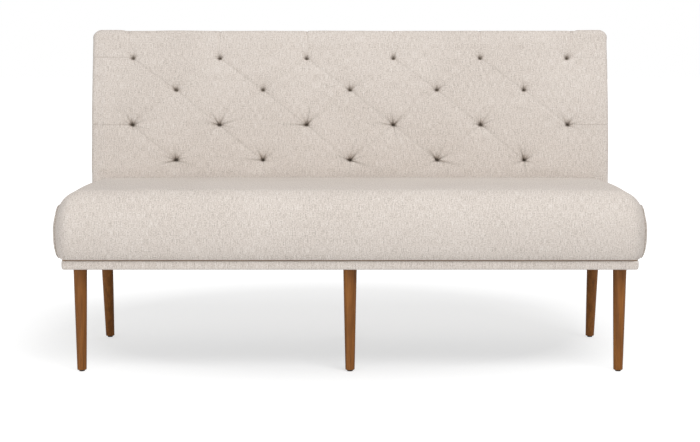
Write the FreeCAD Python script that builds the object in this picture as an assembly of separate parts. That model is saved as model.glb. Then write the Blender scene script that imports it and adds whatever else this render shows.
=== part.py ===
import FreeCAD, Part
import math
import os

from FreeCAD import Vector

# An upholstered bench with a tufted back on six turned legs. Sizes are in millimetres. X runs along the
# bench, +Y towards the back and +Z up. While the pieces are made, a depth is measured back from the rail's
# front face.
# Every piece is moved at the end, so that the origin is on the floor under the middle of the whole bench.

# Overall sizes
rail_width = 1524.0
rail_depth = 585.0
rail_underside = 278.7
border_height = 23.5
seat_height = 493.0
back_height = 911.0
back_top_depth = 705.0

# Fits
cover_thickness = 2.5
fit_gap = 0.2
hole_gap = 0.1

# Legs
leg_top_diameter = 36.3
leg_foot_diameter = 25.0
leg_foot_chamfer = 1.6
leg_side_inset = 44.0
leg_front_inset = 44.0
rear_leg_depth = 522.0
rear_leg_rake = 9.75
glide_diameter = 15.0
glide_thickness = 4.0
glide_nail_diameter = 2.5
glide_nail_length = 16.0
hanger_bolt_diameter = 8.0
hanger_bolt_in_leg = 40.0
hanger_bolt_in_frame = 22.0
leg_plate_side = 58.0
leg_plate_thickness = 2.5
leg_plate_boss_diameter = 14.0
leg_plate_boss_height = 6.0
leg_plate_corner = 5.0
plate_screw_spacing = 42.0
plate_screw_diameter = 4.0
plate_screw_head = 8.0
plate_screw_length = 18.0

# Seat frame
board_thickness = 25.0
seat_rail_height = 95.0
corner_block_side = 96.0
corner_block_nose = 22.0
leg_block_thickness = 30.0
centre_block_width = 120.0
centre_block_depth = 80.0
cross_rail_x = 345.0
cross_rail_height = 80.0
centre_rail_height = 45.0
dowel_diameter = 8.0
dowel_length = 40.0
border_turn_in = 10.0
border_corner = 8.0
dust_cover_thickness = 1.0
dust_cover_gap = 0.5

# Springs
spring_count = 11
spring_spacing = 126.0
spring_wire = 3.8
spring_width = 47.0
spring_runs = 25
clip_width = 14.0
clip_thickness = 1.5
clip_foot = 9.0
spring_front_inset = 19.3
nail_diameter = 2.6
nail_length = 16.0
nail_head_diameter = 5.0
nail_head_height = 1.0
tie_wire_diameter = 2.4
tie_wire_depths = (190.0, 380.0)
tie_wire_bend = 5.0
tie_wire_bite = 10.0
insulator_thickness = 2.0
insulator_edge = 6.0
insulator_rear = 515.0

# Seat cushion
seat_overhang_end = 33.0
seat_overhang_front = 22.0
seat_belly_height = 378.0
seat_end_run = 105.0
seat_low_end_run = 30.0
seat_station_angles = (0.0, 13.0, 26.0, 39.0, 52.0, 65.0, 78.0, 88.5)
seat_corner_run = 42.0
seat_corner_depth = 120.0
seat_rear_corner_depth = 24.0
seat_front_run = 66.0
seat_tuck = 20.0
seat_crown = 3.5
seat_rear_drop = 7.0
seat_end_drop = 5.0
seam_front_depth = 18.0
seam_top_height = 441.0
seam_corner = 55.0

# Back
seat_depth = 534.0
seat_depth_height = 480.0
back_lean = 7.6
back_curve_start = 660.0
back_curve_radius = 1200.0
back_corner = 28.0
back_front_edge = 20.0
back_rear_edge = 8.0
back_foam_thickness = 38.0
tuft_board_thickness = 6.0
tuft_board_foot = 400.0
neck_inset = 6.0
post_tab_depth = 80.0
top_rail_height = 25.0
tack_rail_height = 25.0
tack_rail_thickness = 20.0
post_bolt_diameter = 8.0
post_bolt_inset = 12.0
post_bolt_pitch = 34.0
bolt_head_diameter = 18.0
bolt_head_height = 4.0
nut_across_flats = 13.0
nut_height = 6.5
washer_diameter = 20.0
washer_thickness = 1.6
board_screw_diameter = 4.0
board_screw_head = 8.0
board_screw_length = 22.0
board_screw_rows = (430.0, 570.0, 710.0, 840.0)

# Tufts
tuft_pitch = 257.0
tuft_row_heights = (536.0, 639.0, 742.0, 836.0)
tufts_in_long_row = 6
tuft_radius = 46.0
tuft_depth = 22.0
tuft_floor_radius = 4.0
tuft_rim_lift = 0.4
tuft_tab_diameter = 6.0
tuft_tab_thickness = 1.2
twine_diameter = 1.6
twine_knot_diameter = 5.0
twine_knot_length = 3.0
anchor_diameter = 24.0
anchor_thickness = 1.6
board_hole_diameter = 6.0

# Worked out from the sizes above
rail_half = rail_width / 2
border_top = rail_underside + border_height
frame_underside = rail_underside + leg_plate_thickness
frame_half = rail_half - cover_thickness - fit_gap
frame_front = cover_thickness + fit_gap
frame_rear = rail_depth - cover_thickness - fit_gap
frame_inner_half = frame_half - board_thickness
rail_inner_front = frame_front + board_thickness
rail_inner_rear = frame_rear - board_thickness
seat_rail_top = frame_underside + seat_rail_height
cross_rail_top = frame_underside + cross_rail_height
block_top = frame_underside + leg_block_thickness
centre_rail_top = block_top + centre_rail_height
end_rail_x = frame_inner_half + board_thickness / 2
end_post_x = frame_inner_half - board_thickness / 2
centre_post_x = cross_rail_x - board_thickness
post_foot = block_top + fit_gap
post_rear = rail_inner_rear - fit_gap
post_front = post_rear - post_tab_depth
bolt_height = (post_foot + cross_rail_top) / 2
spring_front = frame_front + spring_front_inset
spring_rear = frame_rear - spring_front_inset
spring_plane = seat_rail_top + clip_thickness + hole_gap + spring_wire / 2
tie_wire_plane = spring_plane + (spring_wire + tie_wire_diameter) / 2 + hole_gap
insulator_underside = tie_wire_plane + tie_wire_diameter / 2 + fit_gap
foam_underside = insulator_underside + insulator_thickness
seat_half = rail_half + seat_overhang_end
leg_x = rail_half - leg_side_inset
frame_top = back_height - back_corner
post_top = frame_top - top_rail_height
frame_rear_inset = cover_thickness + fit_gap
lean = math.radians(back_lean)
rear_lean = math.atan((back_top_depth - rail_depth) / (back_height - border_top))
board_front_offset = cover_thickness + fit_gap + back_foam_thickness
board_rear_offset = board_front_offset + tuft_board_thickness
tuft_anchor_start = board_rear_offset + hole_gap
overall_depth = seat_overhang_front + back_top_depth
origin_depth = back_top_depth - overall_depth / 2
bend = Vector(0, seat_depth + (back_curve_start - seat_depth_height) * math.tan(lean), back_curve_start)
bend_centre = bend + Vector(0, math.cos(lean), -math.sin(lean)) * back_curve_radius


# General shapes

def block(x_range, depth_range, z_range):
    """A box between two values along each axis."""
    low = Vector(x_range[0], depth_range[0], z_range[0])
    size = [pair[1] - pair[0] for pair in (x_range, depth_range, z_range)]
    return Part.makeBox(*size, low)


def rod(start, end, diameter):
    """A round bar between two points."""
    along = end - start
    return Part.makeCylinder(diameter / 2, along.Length, start, along)


def chain(points):
    """Straight edges from each point to the next."""
    return [Part.makeLine(a, b) for a, b in zip(points, points[1:])]


def arc(start, middle, end):
    return Part.Arc(start, middle, end).toShape()


def prism(edges, x_range):
    """A closed outline in the depth-height plane, carried from one X to another."""
    face = Part.Face(Part.Wire(Part.__sortEdges__(edges)))
    solid = face.extrude(Vector(x_range[1] - x_range[0], 0, 0))
    solid.translate(Vector(x_range[0], 0, 0))
    return solid


def outline(points, x_range):
    """A polygon of (depth, height) pairs, carried from one X to another."""
    corners = [Vector(0, depth, z) for depth, z in points]
    return prism(chain(corners + corners[:1]), x_range)


def fillet_where(shape, radius, wanted):
    """Rounds the edges for which wanted(edge) is true."""
    edges = [edge for edge in shape.Edges if wanted(edge)]
    return shape.makeFillet(radius, edges)


def upright(edge):
    """True for a straight edge along Z."""
    box = edge.BoundBox
    return max(box.XLength, box.YLength) < 0.01 < box.ZLength


def drilled(shape, cutters):
    """The shape less every cutter that reaches it."""
    near = [cutter for cutter in cutters if shape.BoundBox.intersect(cutter.BoundBox)]
    return shape.cut(near) if near else shape


def group(shapes):
    return Part.makeCompound(shapes)


def screw(tip, head_at, diameter, head_diameter):
    """A countersunk screw from its tip to the flat of its head."""
    along = (head_at - tip).normalize()
    cone_height = (head_diameter - diameter) / 2
    shank = rod(tip, head_at - along * cone_height, diameter)
    head = Part.makeCone(diameter / 2, head_diameter / 2, cone_height, head_at - along * cone_height, along)
    return shank.fuse(head).removeSplitter()


def screw_hole(tip, head_at, diameter, head_diameter):
    """The hole that a countersunk screw sits in, open past its head."""
    along = (head_at - tip).normalize()
    cone_height = (head_diameter - diameter) / 2
    neck = head_at - along * cone_height
    shank = rod(tip - along * hole_gap, neck, diameter + 2 * hole_gap)
    head = Part.makeCone(diameter / 2 + hole_gap, head_diameter / 2 + hole_gap, cone_height, neck, along)
    mouth = rod(head_at, head_at + along, head_diameter + 2 * hole_gap)
    return shank.fuse([head, mouth])


# The leaning back's front face: a straight line that bends gently backwards near the top

def face_point(z, inset):
    """The point at a height on the back's front face, moved inwards by an inset."""
    bend_z = bend.z - inset * math.sin(lean)
    if z <= bend_z:
        return Vector(0, bend.y + (z - bend.z) * math.tan(lean) + inset / math.cos(lean), z)
    radius = back_curve_radius - inset
    rise = z - bend_centre.z
    return Vector(0, bend_centre.y - math.sqrt(radius * radius - rise * rise), z)


def face_inwards(z):
    """The direction into the back, square to its front face at a height."""
    if z <= bend.z:
        angle = lean
    else:
        angle = math.asin((z - bend_centre.z) / back_curve_radius)
    return Vector(0, math.cos(angle), -math.sin(angle))


def face_edges(low_z, high_z, inset):
    """The face's line and arc between two heights."""
    bend_z = bend.z - inset * math.sin(lean)
    knee_z = min(max(low_z, bend_z), high_z)
    low, knee, high = (face_point(z, inset) for z in (low_z, knee_z, high_z))
    edges = []
    if knee_z > low_z:
        edges.append(Part.makeLine(low, knee))
    if high_z > knee_z:
        edges.append(arc(knee, face_point((knee_z + high_z) / 2, inset), high))
    return edges


def rear_point(z, inset):
    """The point at a height on the back's flat rear face."""
    depth = rail_depth + (z - border_top) * math.tan(rear_lean) - inset / math.cos(rear_lean)
    return Vector(0, depth, z)


def back_slice(low_z, high_z, front_inset, rear_inset, x_range):
    """The space between the back's front and rear faces, between two heights."""
    edges = face_edges(low_z, high_z, front_inset)
    edges += chain([face_point(high_z, front_inset), rear_point(high_z, rear_inset),
                    rear_point(low_z, rear_inset), face_point(low_z, front_inset)])
    return prism(edges, x_range)


def back_form(inset):
    """The back's outer form, rounded at its ends, top and front."""
    half = rail_half - inset
    top = back_height - inset
    form = back_slice(border_top, top, inset, inset, (-half, half))

    def top_corner(edge):
        box = edge.BoundBox
        at_end = abs(abs(box.Center.x) - half) < 0.01 and box.XLength < 0.01
        return at_end and box.ZLength < 0.01 and abs(box.Center.z - top) < 0.01

    form = fillet_where(form, back_corner - inset, top_corner)

    def follows(edge, surface_point):
        """True if an edge above the border lies in a face, and isn't the bend across it."""
        first, span = edge.FirstParameter, edge.LastParameter - edge.FirstParameter
        points = [edge.valueAt(first + share * span) for share in (0.1, 0.5, 0.9)]
        in_face = all(abs(point.y - surface_point(point.z, inset).y) < 0.05 for point in points)
        across = abs(points[0].x - points[2].x) > half and points[1].z < top - 1
        return in_face and not across and min(point.z for point in points) > border_top + 0.01

    form = fillet_where(form, back_front_edge - inset, lambda edge: follows(edge, face_point))
    return fillet_where(form, back_rear_edge - inset, lambda edge: follows(edge, rear_point))


# Tufts

def tuft_places():
    """(x, z) of each tuft: long rows of six and short rows of five, staggered by half a pitch."""
    places = []
    for row, z in enumerate(tuft_row_heights):
        count = tufts_in_long_row if row % 2 else tufts_in_long_row - 1
        first = -(count - 1) / 2 * tuft_pitch
        places += [(first + i * tuft_pitch, z) for i in range(count)]
    return places


def tuft_mouth(x, z):
    """Where a tuft's axis crosses the front face."""
    return face_point(z, 0) + Vector(x, 0, 0)


def tuft_cutter(x, z, inset):
    """The funnel that a tuft pulls into the face, at the outside or at an inset below it.

    The wall is an arc that leaves the face almost flat and ends at the tuft's floor.
    """
    run = tuft_radius - tuft_floor_radius
    drop = tuft_depth + tuft_rim_lift
    wall_radius = (run * run + drop * drop) / (2 * drop)
    sweep = math.asin(run / wall_radius)
    centre_depth = wall_radius - tuft_rim_lift

    def wall(angle):
        radius = wall_radius - inset
        return Vector(tuft_radius - radius * math.sin(angle), 0, centre_depth - radius * math.cos(angle))

    floor_depth = tuft_depth + inset
    above = -10.0
    edge_point = wall(0)
    end_point = wall(sweep)
    edges = chain([Vector(0, 0, above), Vector(tuft_radius, 0, above), edge_point])
    edges.append(arc(edge_point, wall(sweep / 2), end_point))
    if floor_depth > end_point.z + 0.001:
        lower_end = Vector(end_point.x, 0, floor_depth)
        edges.append(Part.makeLine(end_point, lower_end))
        end_point = lower_end
    edges += chain([end_point, Vector(0, 0, floor_depth), Vector(0, 0, above)])
    face = Part.Face(Part.Wire(Part.__sortEdges__(edges)))
    funnel = face.revolve(Vector(0, 0, 0), Vector(0, 0, 1), 360)
    inwards = face_inwards(z)
    funnel.Placement = FreeCAD.Placement(tuft_mouth(x, z), FreeCAD.Rotation(Vector(0, 0, 1), inwards))
    return funnel


def tufted_form(inset):
    return back_form(inset).cut([tuft_cutter(x, z, inset) for x, z in tuft_places()])


# Seat cushion

def quarter_oval(corner, start, end):
    """Two tangent arcs from start to end, in the box that corner closes, that stand in for a quarter ellipse.

    They meet at the centre of the circle inside the triangle of the three points.
    """
    to_start, to_end = start - corner, end - corner
    a, b = to_start.Length, to_end.Length
    along_a, along_b = to_start / a, to_end / b
    inside = (a + b - math.hypot(a, b)) / 2
    meeting = corner + (along_a + along_b) * inside

    def quarter(point, length, towards_centre):
        radius = ((length - inside) ** 2 + inside ** 2) / (2 * inside)
        centre = point + towards_centre * radius
        return arc(point, centre + ((point + meeting) / 2 - centre).normalize() * radius, meeting)

    return [quarter(start, a, along_b), quarter(end, b, along_a)]


def ellipse_share(distance, run):
    """How much of an ellipse's height is left at a distance into its run."""
    return math.sqrt(max(0.0, 1 - (max(0.0, distance) / run) ** 2))


def seat_section(x, inset):
    """The seat cushion's outline in the depth-height plane at one station along the bench."""
    half = seat_half - inset
    reach = abs(x)
    rise = ellipse_share(reach - seat_half + seat_end_run, seat_end_run - inset)
    fall = ellipse_share(reach - seat_half + seat_low_end_run, seat_low_end_run - inset)
    front_share = ellipse_share(reach - seat_half + seat_corner_run, seat_corner_run - inset)
    rear_share = ellipse_share(reach - rail_half, half - rail_half)
    drop = seat_end_drop * (reach / half) ** 4
    top = seat_belly_height + (seat_height - seat_crown - drop - inset - seat_belly_height) * rise
    bottom = seat_belly_height - (seat_belly_height - border_top - inset) * fall
    front = -seat_overhang_front + inset + (seat_corner_depth - inset) * (1 - front_share)
    rear_shift = fit_gap + inset + seat_rear_corner_depth * (1 - rear_share)

    belly = Vector(x, front, seat_belly_height)
    heel = Vector(x, front + (seat_tuck - inset) * fall, bottom)
    brow = Vector(x, front + seat_front_run - inset, top)
    rear_top_z = top - seat_rear_drop * rise
    rear_top = Vector(x, face_point(rear_top_z, 0).y - rear_shift, rear_top_z)
    rear_foot = Vector(x, face_point(bottom, 0).y - rear_shift, bottom)
    lower = quarter_oval(Vector(x, front, bottom), heel, belly)
    upper = quarter_oval(Vector(x, front, top), belly, brow)
    crest = Vector(x, (brow.y + rear_top.y) / 2, (top + rear_top_z) / 2 + seat_crown * rise + 0.2)
    edges = lower + upper + [arc(brow, crest, rear_top), Part.makeLine(rear_top, rear_foot),
                             Part.makeLine(rear_foot, heel)]
    return Part.Wire(Part.__sortEdges__(edges))


def seat_form(inset):
    """The seat cushion's outer form: a crowned pad whose ends round over and swell past the rail."""
    start = seat_half - seat_end_run
    turns = [math.radians(angle) for angle in seat_station_angles]
    stations = [0.0, start * 0.5, start * 0.85]
    stations += [start + (seat_end_run - inset) * math.sin(turn) for turn in turns]
    sections = [seat_section(x, inset) for x in [-x for x in reversed(stations[1:])] + stations]
    return Part.makeLoft(sections, True, False)


# Where the fixings are

def leg_places():
    """(x, depth, rake in degrees) at the top of each leg."""
    return [(x, depth, rake) for depth, rake in ((leg_front_inset, 0.0), (rear_leg_depth, rear_leg_rake))
            for x in (-leg_x, 0.0, leg_x)]


def leg_top(place):
    return Vector(place[0], place[1], rail_underside)


def leg_axis(place):
    """The direction up a leg."""
    rake = math.radians(place[2])
    return Vector(0, -math.sin(rake), math.cos(rake))


def leg_centre(place, z):
    """The point on a leg's axis at a height."""
    along = leg_axis(place)
    return leg_top(place) - along * ((rail_underside - z) / along.z)


def plate_screw_ends(place):
    """The tip and the head of each screw through a leg's plate."""
    half = plate_screw_spacing / 2
    heads = [leg_top(place) + Vector(dx, dy, 0) for dx in (-half, half) for dy in (-half, half)]
    return [(head + Vector(0, 0, plate_screw_length), head) for head in heads]


def dowel_ends():
    """The two ends of each dowel, half in one rail and half in the other."""
    along = Vector(0, dowel_length / 2, 0)
    spans = [(end_rail_x, frame_underside, seat_rail_top), (-end_rail_x, frame_underside, seat_rail_top),
             (cross_rail_x, frame_underside, cross_rail_top),
             (-cross_rail_x, frame_underside, cross_rail_top),
             (0.0, block_top, centre_rail_top)]
    ends = []
    for x, low, high in spans:
        for z in (low + (high - low) / 4, high - (high - low) / 4):
            for depth in (rail_inner_front, rail_inner_rear):
                joint = Vector(x, depth, z)
                ends.append((joint - along, joint + along))
    up = Vector(0, 0, dowel_length / 2)
    depth = (face_point(post_top, board_rear_offset).y + rear_point(post_top, frame_rear_inset).y) / 2
    for x in post_places():
        joint = Vector(x, depth, post_top)
        ends.append((joint - up, joint + up))
    return ends


def post_places():
    return (-end_post_x, -centre_post_x, centre_post_x, end_post_x)


def bolt_places():
    """(side, outer x, inner x, depth) of each bolt through a rail and the post beside it."""
    return [(side, x + board_thickness / 2, x - 1.5 * board_thickness, post_front + post_bolt_inset + step)
            for side in (-1, 1) for x in (end_rail_x, cross_rail_x) for step in (0, post_bolt_pitch)]


def clip_places():
    """(x, depth, outward) of each end of each spring."""
    first = -(spring_count - 1) / 2 * spring_spacing
    return [(first + i * spring_spacing, depth, outward) for i in range(spring_count)
            for depth, outward in ((spring_front, -1), (spring_rear, 1))]


def board_screw_ends():
    """The tip and the head of each screw through the tuft board."""
    places = [(x, z) for x in post_places() for z in board_screw_rows]
    rail_screw_z = tuft_board_foot + tack_rail_height
    for low, high in tack_rail_spans():
        places += [(low + share * (high - low), rail_screw_z) for share in (0.25, 0.75)]
    ends = []
    for x, z in places:
        head = face_point(z, 0) + face_inwards(z) * (board_front_offset + hole_gap) + Vector(x, 0, 0)
        ends.append((head + face_inwards(z) * board_screw_length, head))
    return ends


# Seat frame

def dowels():
    trim = fit_gap
    return group([rod(a + (b - a).normalize() * trim, b - (b - a).normalize() * trim, dowel_diameter)
                  for a, b in dowel_ends()])


def frame_holes():
    """Everything drilled or sunk into the timber."""
    cutters = [rod(a, b, dowel_diameter + 2 * hole_gap) for a, b in dowel_ends()]
    for place in leg_places():
        cutters += [screw_hole(tip, head, plate_screw_diameter, plate_screw_head)
                    for tip, head in plate_screw_ends(place)]
        top, up = leg_top(place), leg_axis(place)
        bolt_end = top + up * (hanger_bolt_in_frame + fit_gap)
        cutters.append(rod(top, bolt_end, hanger_bolt_diameter + 2 * hole_gap))
        cutters.append(rod(top, boss_end(place) + up * fit_gap, leg_plate_boss_diameter + 2 * hole_gap))
    for side, outer, inner, depth in bolt_places():
        start = Vector(side * outer, depth, bolt_height)
        end = Vector(side * inner, depth, bolt_height)
        cutters.append(rod(start, end, post_bolt_diameter + 2 * hole_gap))
        sunk = Vector(side * (outer - bolt_head_height - fit_gap), depth, bolt_height)
        cutters.append(rod(start, sunk, bolt_head_diameter + 2 * hole_gap))
    for x, depth, outward in clip_places():
        nail = nail_point(x, depth, outward)
        cutters.append(rod(nail - Vector(0, 0, nail_length + fit_gap), nail, nail_diameter + 2 * hole_gap))
    for depth in tie_wire_depths:
        for x in (-end_rail_x, end_rail_x):
            foot = Vector(x, depth, seat_rail_top - tie_wire_bite - fit_gap)
            cutters.append(rod(foot, Vector(x, depth, seat_rail_top), tie_wire_diameter + 2 * hole_gap))
    cutters += [screw_hole(tip, head, board_screw_diameter, board_screw_head)
                for tip, head in board_screw_ends()]
    return cutters


def long_rail(front, rear, outer):
    """A rail along the bench, with its outer corners rounded to sit inside the border's."""
    rail = block((-frame_half, frame_half), (front, rear), (frame_underside, seat_rail_top))
    radius = border_corner - cover_thickness - fit_gap
    return fillet_where(rail, radius,
                        lambda edge: upright(edge) and abs(edge.CenterOfMass.y - outer) < 0.01)


def short_rail(x, low, high):
    """A rail from front to rear, centred on an x."""
    sides = (x - board_thickness / 2, x + board_thickness / 2)
    return block(sides, (rail_inner_front, rail_inner_rear), (low, high))


def corner_block(side, depth, inward):
    """A block in a corner of the frame, with its inner corner cut off."""
    points = [(0, 0), (corner_block_side, 0), (corner_block_side, corner_block_nose),
              (corner_block_nose, corner_block_side), (0, corner_block_side)]
    corners = [Vector(side * (frame_inner_half - u), depth + inward * v, frame_underside) for u, v in points]
    face = Part.Face(Part.makePolygon(corners + corners[:1]))
    return face.extrude(Vector(0, 0, leg_block_thickness))


def centre_block(depth, inward):
    depths = sorted((depth, depth + inward * centre_block_depth))
    return block((-centre_block_width / 2, centre_block_width / 2), depths, (frame_underside, block_top))


# Legs

def leg(place):
    """A tapered round leg, cut level at the plate and at the glide."""
    along = leg_axis(place)
    spare = 10.0
    length = rail_underside / along.z
    taper = (leg_top_diameter - leg_foot_diameter) / 2 / length
    base = leg_centre(place, 0) - along * spare
    cone = Part.makeCone(leg_foot_diameter / 2 - taper * spare, leg_top_diameter / 2 + taper * spare,
                         length + 2 * spare, base, along)
    low = block((place[0] - 60, place[0] + 60), (place[1] - 60, place[1] + 120), (-60, glide_thickness))
    high = block((place[0] - 60, place[0] + 60), (place[1] - 60, place[1] + 120), (rail_underside, 340))
    solid = cone.cut([low, high])
    solid = solid.makeChamfer(leg_foot_chamfer, [edge for edge in solid.Edges
                                                 if edge.BoundBox.ZMax < glide_thickness + 0.01])
    foot = leg_centre(place, glide_thickness)
    nail = rod(foot, foot + Vector(0, 0, glide_nail_length + fit_gap), glide_nail_diameter + 2 * hole_gap)
    top = leg_top(place)
    bolt = rod(top - along * (hanger_bolt_in_leg + fit_gap), top + along, hanger_bolt_diameter + 2 * hole_gap)
    return solid.cut([nail, bolt])


def glide(place):
    """A round plastic pad on a nail."""
    foot = leg_centre(place, glide_thickness)
    pad = rod(Vector(foot.x, foot.y, 0), foot, glide_diameter)
    pad = fillet_where(pad, 1.0, lambda edge: edge.BoundBox.ZMax < 0.01)
    return pad.fuse(rod(foot, foot + Vector(0, 0, glide_nail_length), glide_nail_diameter)).removeSplitter()


def boss_end(place):
    return leg_top(place) + leg_axis(place) * (leg_plate_thickness + leg_plate_boss_height)


def leg_plate(place):
    """A square plate screwed under the frame, with the threaded boss that the leg's bolt turns into."""
    top, half = leg_top(place), leg_plate_side / 2
    plate = block((top.x - half, top.x + half), (top.y - half, top.y + half),
                  (rail_underside, frame_underside))
    plate = fillet_where(plate, leg_plate_corner, upright)
    start = top + leg_axis(place) * (leg_plate_thickness / 2)
    plate = plate.fuse(rod(start, boss_end(place), leg_plate_boss_diameter)).removeSplitter()
    along = leg_axis(place) * (leg_plate_thickness + leg_plate_boss_height + 2)
    bore = rod(top - along, top + along, hanger_bolt_diameter + 2 * hole_gap)
    holes = [screw_hole(tip, head, plate_screw_diameter, plate_screw_head)
             for tip, head in plate_screw_ends(place)]
    return plate.cut([bore] + holes)


def hanger_bolt(place):
    top, along = leg_top(place), leg_axis(place)
    return rod(top - along * hanger_bolt_in_leg, top + along * hanger_bolt_in_frame, hanger_bolt_diameter)


def plate_screws():
    return group([screw(tip, head, plate_screw_diameter, plate_screw_head)
                  for place in leg_places() for tip, head in plate_screw_ends(place)])


# Springs

def sinuous_spring(x):
    """A flat zigzag of wire from the front rail's top to the rear rail's."""
    pitch = (spring_rear - spring_front) / (spring_runs - 1)
    radius = pitch / 2
    reach = (spring_width - spring_wire) / 2 - radius
    edges = []
    for i in range(spring_runs):
        side = 1 if i % 2 else -1
        depth = spring_front + i * pitch
        end = Vector(x + side * reach, depth, spring_plane)
        edges.append(Part.makeLine(Vector(x - side * reach, depth, spring_plane), end))
        if i < spring_runs - 1:
            centre = end + Vector(0, radius, 0)
            outer = centre + Vector(side * radius, 0, 0)
            slant = radius * math.sqrt(0.5)
            edges.append(arc(end, centre + Vector(side * slant, -slant, 0), outer))
            edges.append(arc(outer, centre + Vector(side * slant, slant, 0), centre + Vector(0, radius, 0)))
    start = edges[0].Vertexes[0].Point
    section = Part.Wire(Part.makeCircle(spring_wire / 2, start, Vector(1, 0, 0)))
    return Part.Wire(edges).makePipeShell([section], True, False)


def springs():
    first = -(spring_count - 1) / 2 * spring_spacing
    pattern = sinuous_spring(first)
    copies = [pattern.translated(Vector(i * spring_spacing, 0, 0)) for i in range(spring_count)]
    return group(copies)


def nail_point(x, depth, outward):
    """The middle of a clip's foot at the rail's top, where its nail goes in."""
    step = spring_wire / 2 + hole_gap + clip_thickness + clip_foot / 2
    return Vector(x, depth + outward * step, seat_rail_top)


def clip(x, depth, outward):
    """A strip that lies on the rail, turns up behind the spring's end and closes over it."""
    inside = spring_wire / 2 + hole_gap
    outside = inside + clip_thickness
    base = seat_rail_top + clip_thickness
    roof = base + 2 * inside
    points = [(inside, seat_rail_top), (-outside - clip_foot, seat_rail_top), (-outside - clip_foot, base),
              (-outside, base), (-outside, roof + clip_thickness), (inside, roof + clip_thickness),
              (inside, roof), (-inside, roof), (-inside, base), (inside, base)]
    strip = outline([(depth - outward * d, z) for d, z in points], (x - clip_width / 2, x + clip_width / 2))
    nail = nail_point(x, depth, outward)
    return strip.cut(rod(nail, nail + Vector(0, 0, clip_thickness), nail_diameter + 2 * hole_gap))


def clip_nail(x, depth, outward):
    under_head = nail_point(x, depth, outward) + Vector(0, 0, clip_thickness)
    head = rod(under_head, under_head + Vector(0, 0, nail_head_height), nail_head_diameter)
    return head.fuse(rod(under_head - Vector(0, 0, nail_length), under_head, nail_diameter)).removeSplitter()


def tie_wire(depth):
    """A wire across all the springs, with each end bent down into an end rail."""
    low = seat_rail_top - tie_wire_bite
    bend_z = tie_wire_plane - tie_wire_bend
    slant = tie_wire_bend * (1 - math.sqrt(0.5))
    edges = []
    for side in (-1, 1):
        foot = Vector(side * end_rail_x, depth, low)
        knee = Vector(side * end_rail_x, depth, bend_z)
        middle = Vector(side * (end_rail_x - slant), depth, tie_wire_plane - slant)
        level = Vector(side * (end_rail_x - tie_wire_bend), depth, tie_wire_plane)
        edges += [Part.makeLine(foot, knee), arc(knee, middle, level)]
    edges.append(Part.makeLine(edges[1].Vertexes[1].Point, edges[3].Vertexes[1].Point))
    path = Part.Wire(Part.__sortEdges__(edges))
    start = Vector(-end_rail_x, depth, low)
    section = Part.Wire(Part.makeCircle(tie_wire_diameter / 2, start, Vector(0, 0, 1)))
    return path.makePipeShell([section], True, False)


def insulator():
    half = frame_half - insulator_edge
    depths = (frame_front + insulator_edge, insulator_rear)
    return block((-half, half), depths, (insulator_underside, foam_underside))


# Seat upholstery

def under_seat():
    """The space that the border, the frame and the springs take under the seat's foam and cover."""
    gap = fit_gap
    half = frame_half + gap
    step_half = frame_half - insulator_edge + gap
    border = block((-900, 900), (-100, 900), (100, border_top))
    frame = block((-half, half), (frame_front - gap, 900), (100, seat_rail_top + gap))
    recess = block((-step_half, step_half), (frame_front + insulator_edge - gap, 900), (100, foam_underside))
    return [border, frame, recess]


def seat_foam():
    return seat_form(cover_thickness).cut(under_seat())


def seat_shell():
    return seat_form(0).cut([seat_form(cover_thickness)] + under_seat())


def end_panel_zone(side):
    """The part of the seat's end inside its seam, which rises from the border, turns and runs to the rear."""
    turn = seam_corner * (1 - math.sqrt(0.5))
    low = Vector(0, seam_front_depth, border_top - 10)
    knee = Vector(0, seam_front_depth, seam_top_height - seam_corner)
    middle = Vector(0, seam_front_depth + turn, seam_top_height - turn)
    level = Vector(0, seam_front_depth + seam_corner, seam_top_height)
    edges = [Part.makeLine(low, knee), arc(knee, middle, level)]
    edges += chain([level, Vector(0, 700, seam_top_height), Vector(0, 700, border_top - 10), low])
    return prism(edges, (rail_half - 30, 900) if side > 0 else (-900, -rail_half + 30))


def rail_border():
    """The fabric band round the frame's lower edge, turned in under it."""
    half = rail_half
    band = block((-half, half), (0, rail_depth), (rail_underside, border_top))
    band = fillet_where(band, border_corner, upright)
    band = fillet_where(band, 0.8 * cover_thickness, lambda edge: edge.BoundBox.ZMax < rail_underside + 0.01)
    half -= cover_thickness
    inside = block((-half, half), (cover_thickness, rail_depth - cover_thickness),
                   (frame_underside, border_top + 1))
    inside = fillet_where(inside, border_corner - cover_thickness, upright)
    half = frame_half - border_turn_in
    depths = (frame_front + border_turn_in, frame_rear - border_turn_in)
    window = block((-half, half), depths, (rail_underside - 1, frame_underside + 1))
    return band.cut([inside, window])


def dust_cover():
    """The thin cloth under the frame, cut round the leg plates."""
    edge = border_turn_in + dust_cover_gap
    half = frame_half - edge
    sheet = block((-half, half), (frame_front + edge, frame_rear - edge),
                  (frame_underside - dust_cover_thickness, frame_underside))
    cuts = []
    for x, depth, rake in leg_places():
        side = leg_plate_side / 2 + dust_cover_gap
        cuts.append(block((x - side, x + side), (depth - side, depth + side),
                          (rail_underside - 1, block_top)))
    return sheet.cut(cuts)


# Back frame

def post(x):
    """An upright whose foot is bolted inside the seat frame and whose top leans back over the rear rail."""
    edges = face_edges(tuft_board_foot, post_top, board_rear_offset)
    over_rail = seat_rail_top + fit_gap
    neck = face_point(tuft_board_foot, 0).y + neck_inset
    edges += chain([face_point(post_top, board_rear_offset), rear_point(post_top, frame_rear_inset),
                    rear_point(over_rail, frame_rear_inset), Vector(0, post_rear, over_rail),
                    Vector(0, post_rear, post_foot), Vector(0, post_front, post_foot),
                    Vector(0, post_front, seat_rail_top), Vector(0, neck, seat_rail_top),
                    Vector(0, neck, tuft_board_foot), face_point(tuft_board_foot, board_rear_offset)])
    return prism(edges, (x - board_thickness / 2, x + board_thickness / 2))


def top_rail():
    span = (-frame_inner_half, frame_inner_half)
    return back_slice(post_top, frame_top, board_rear_offset, frame_rear_inset, span)


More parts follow.
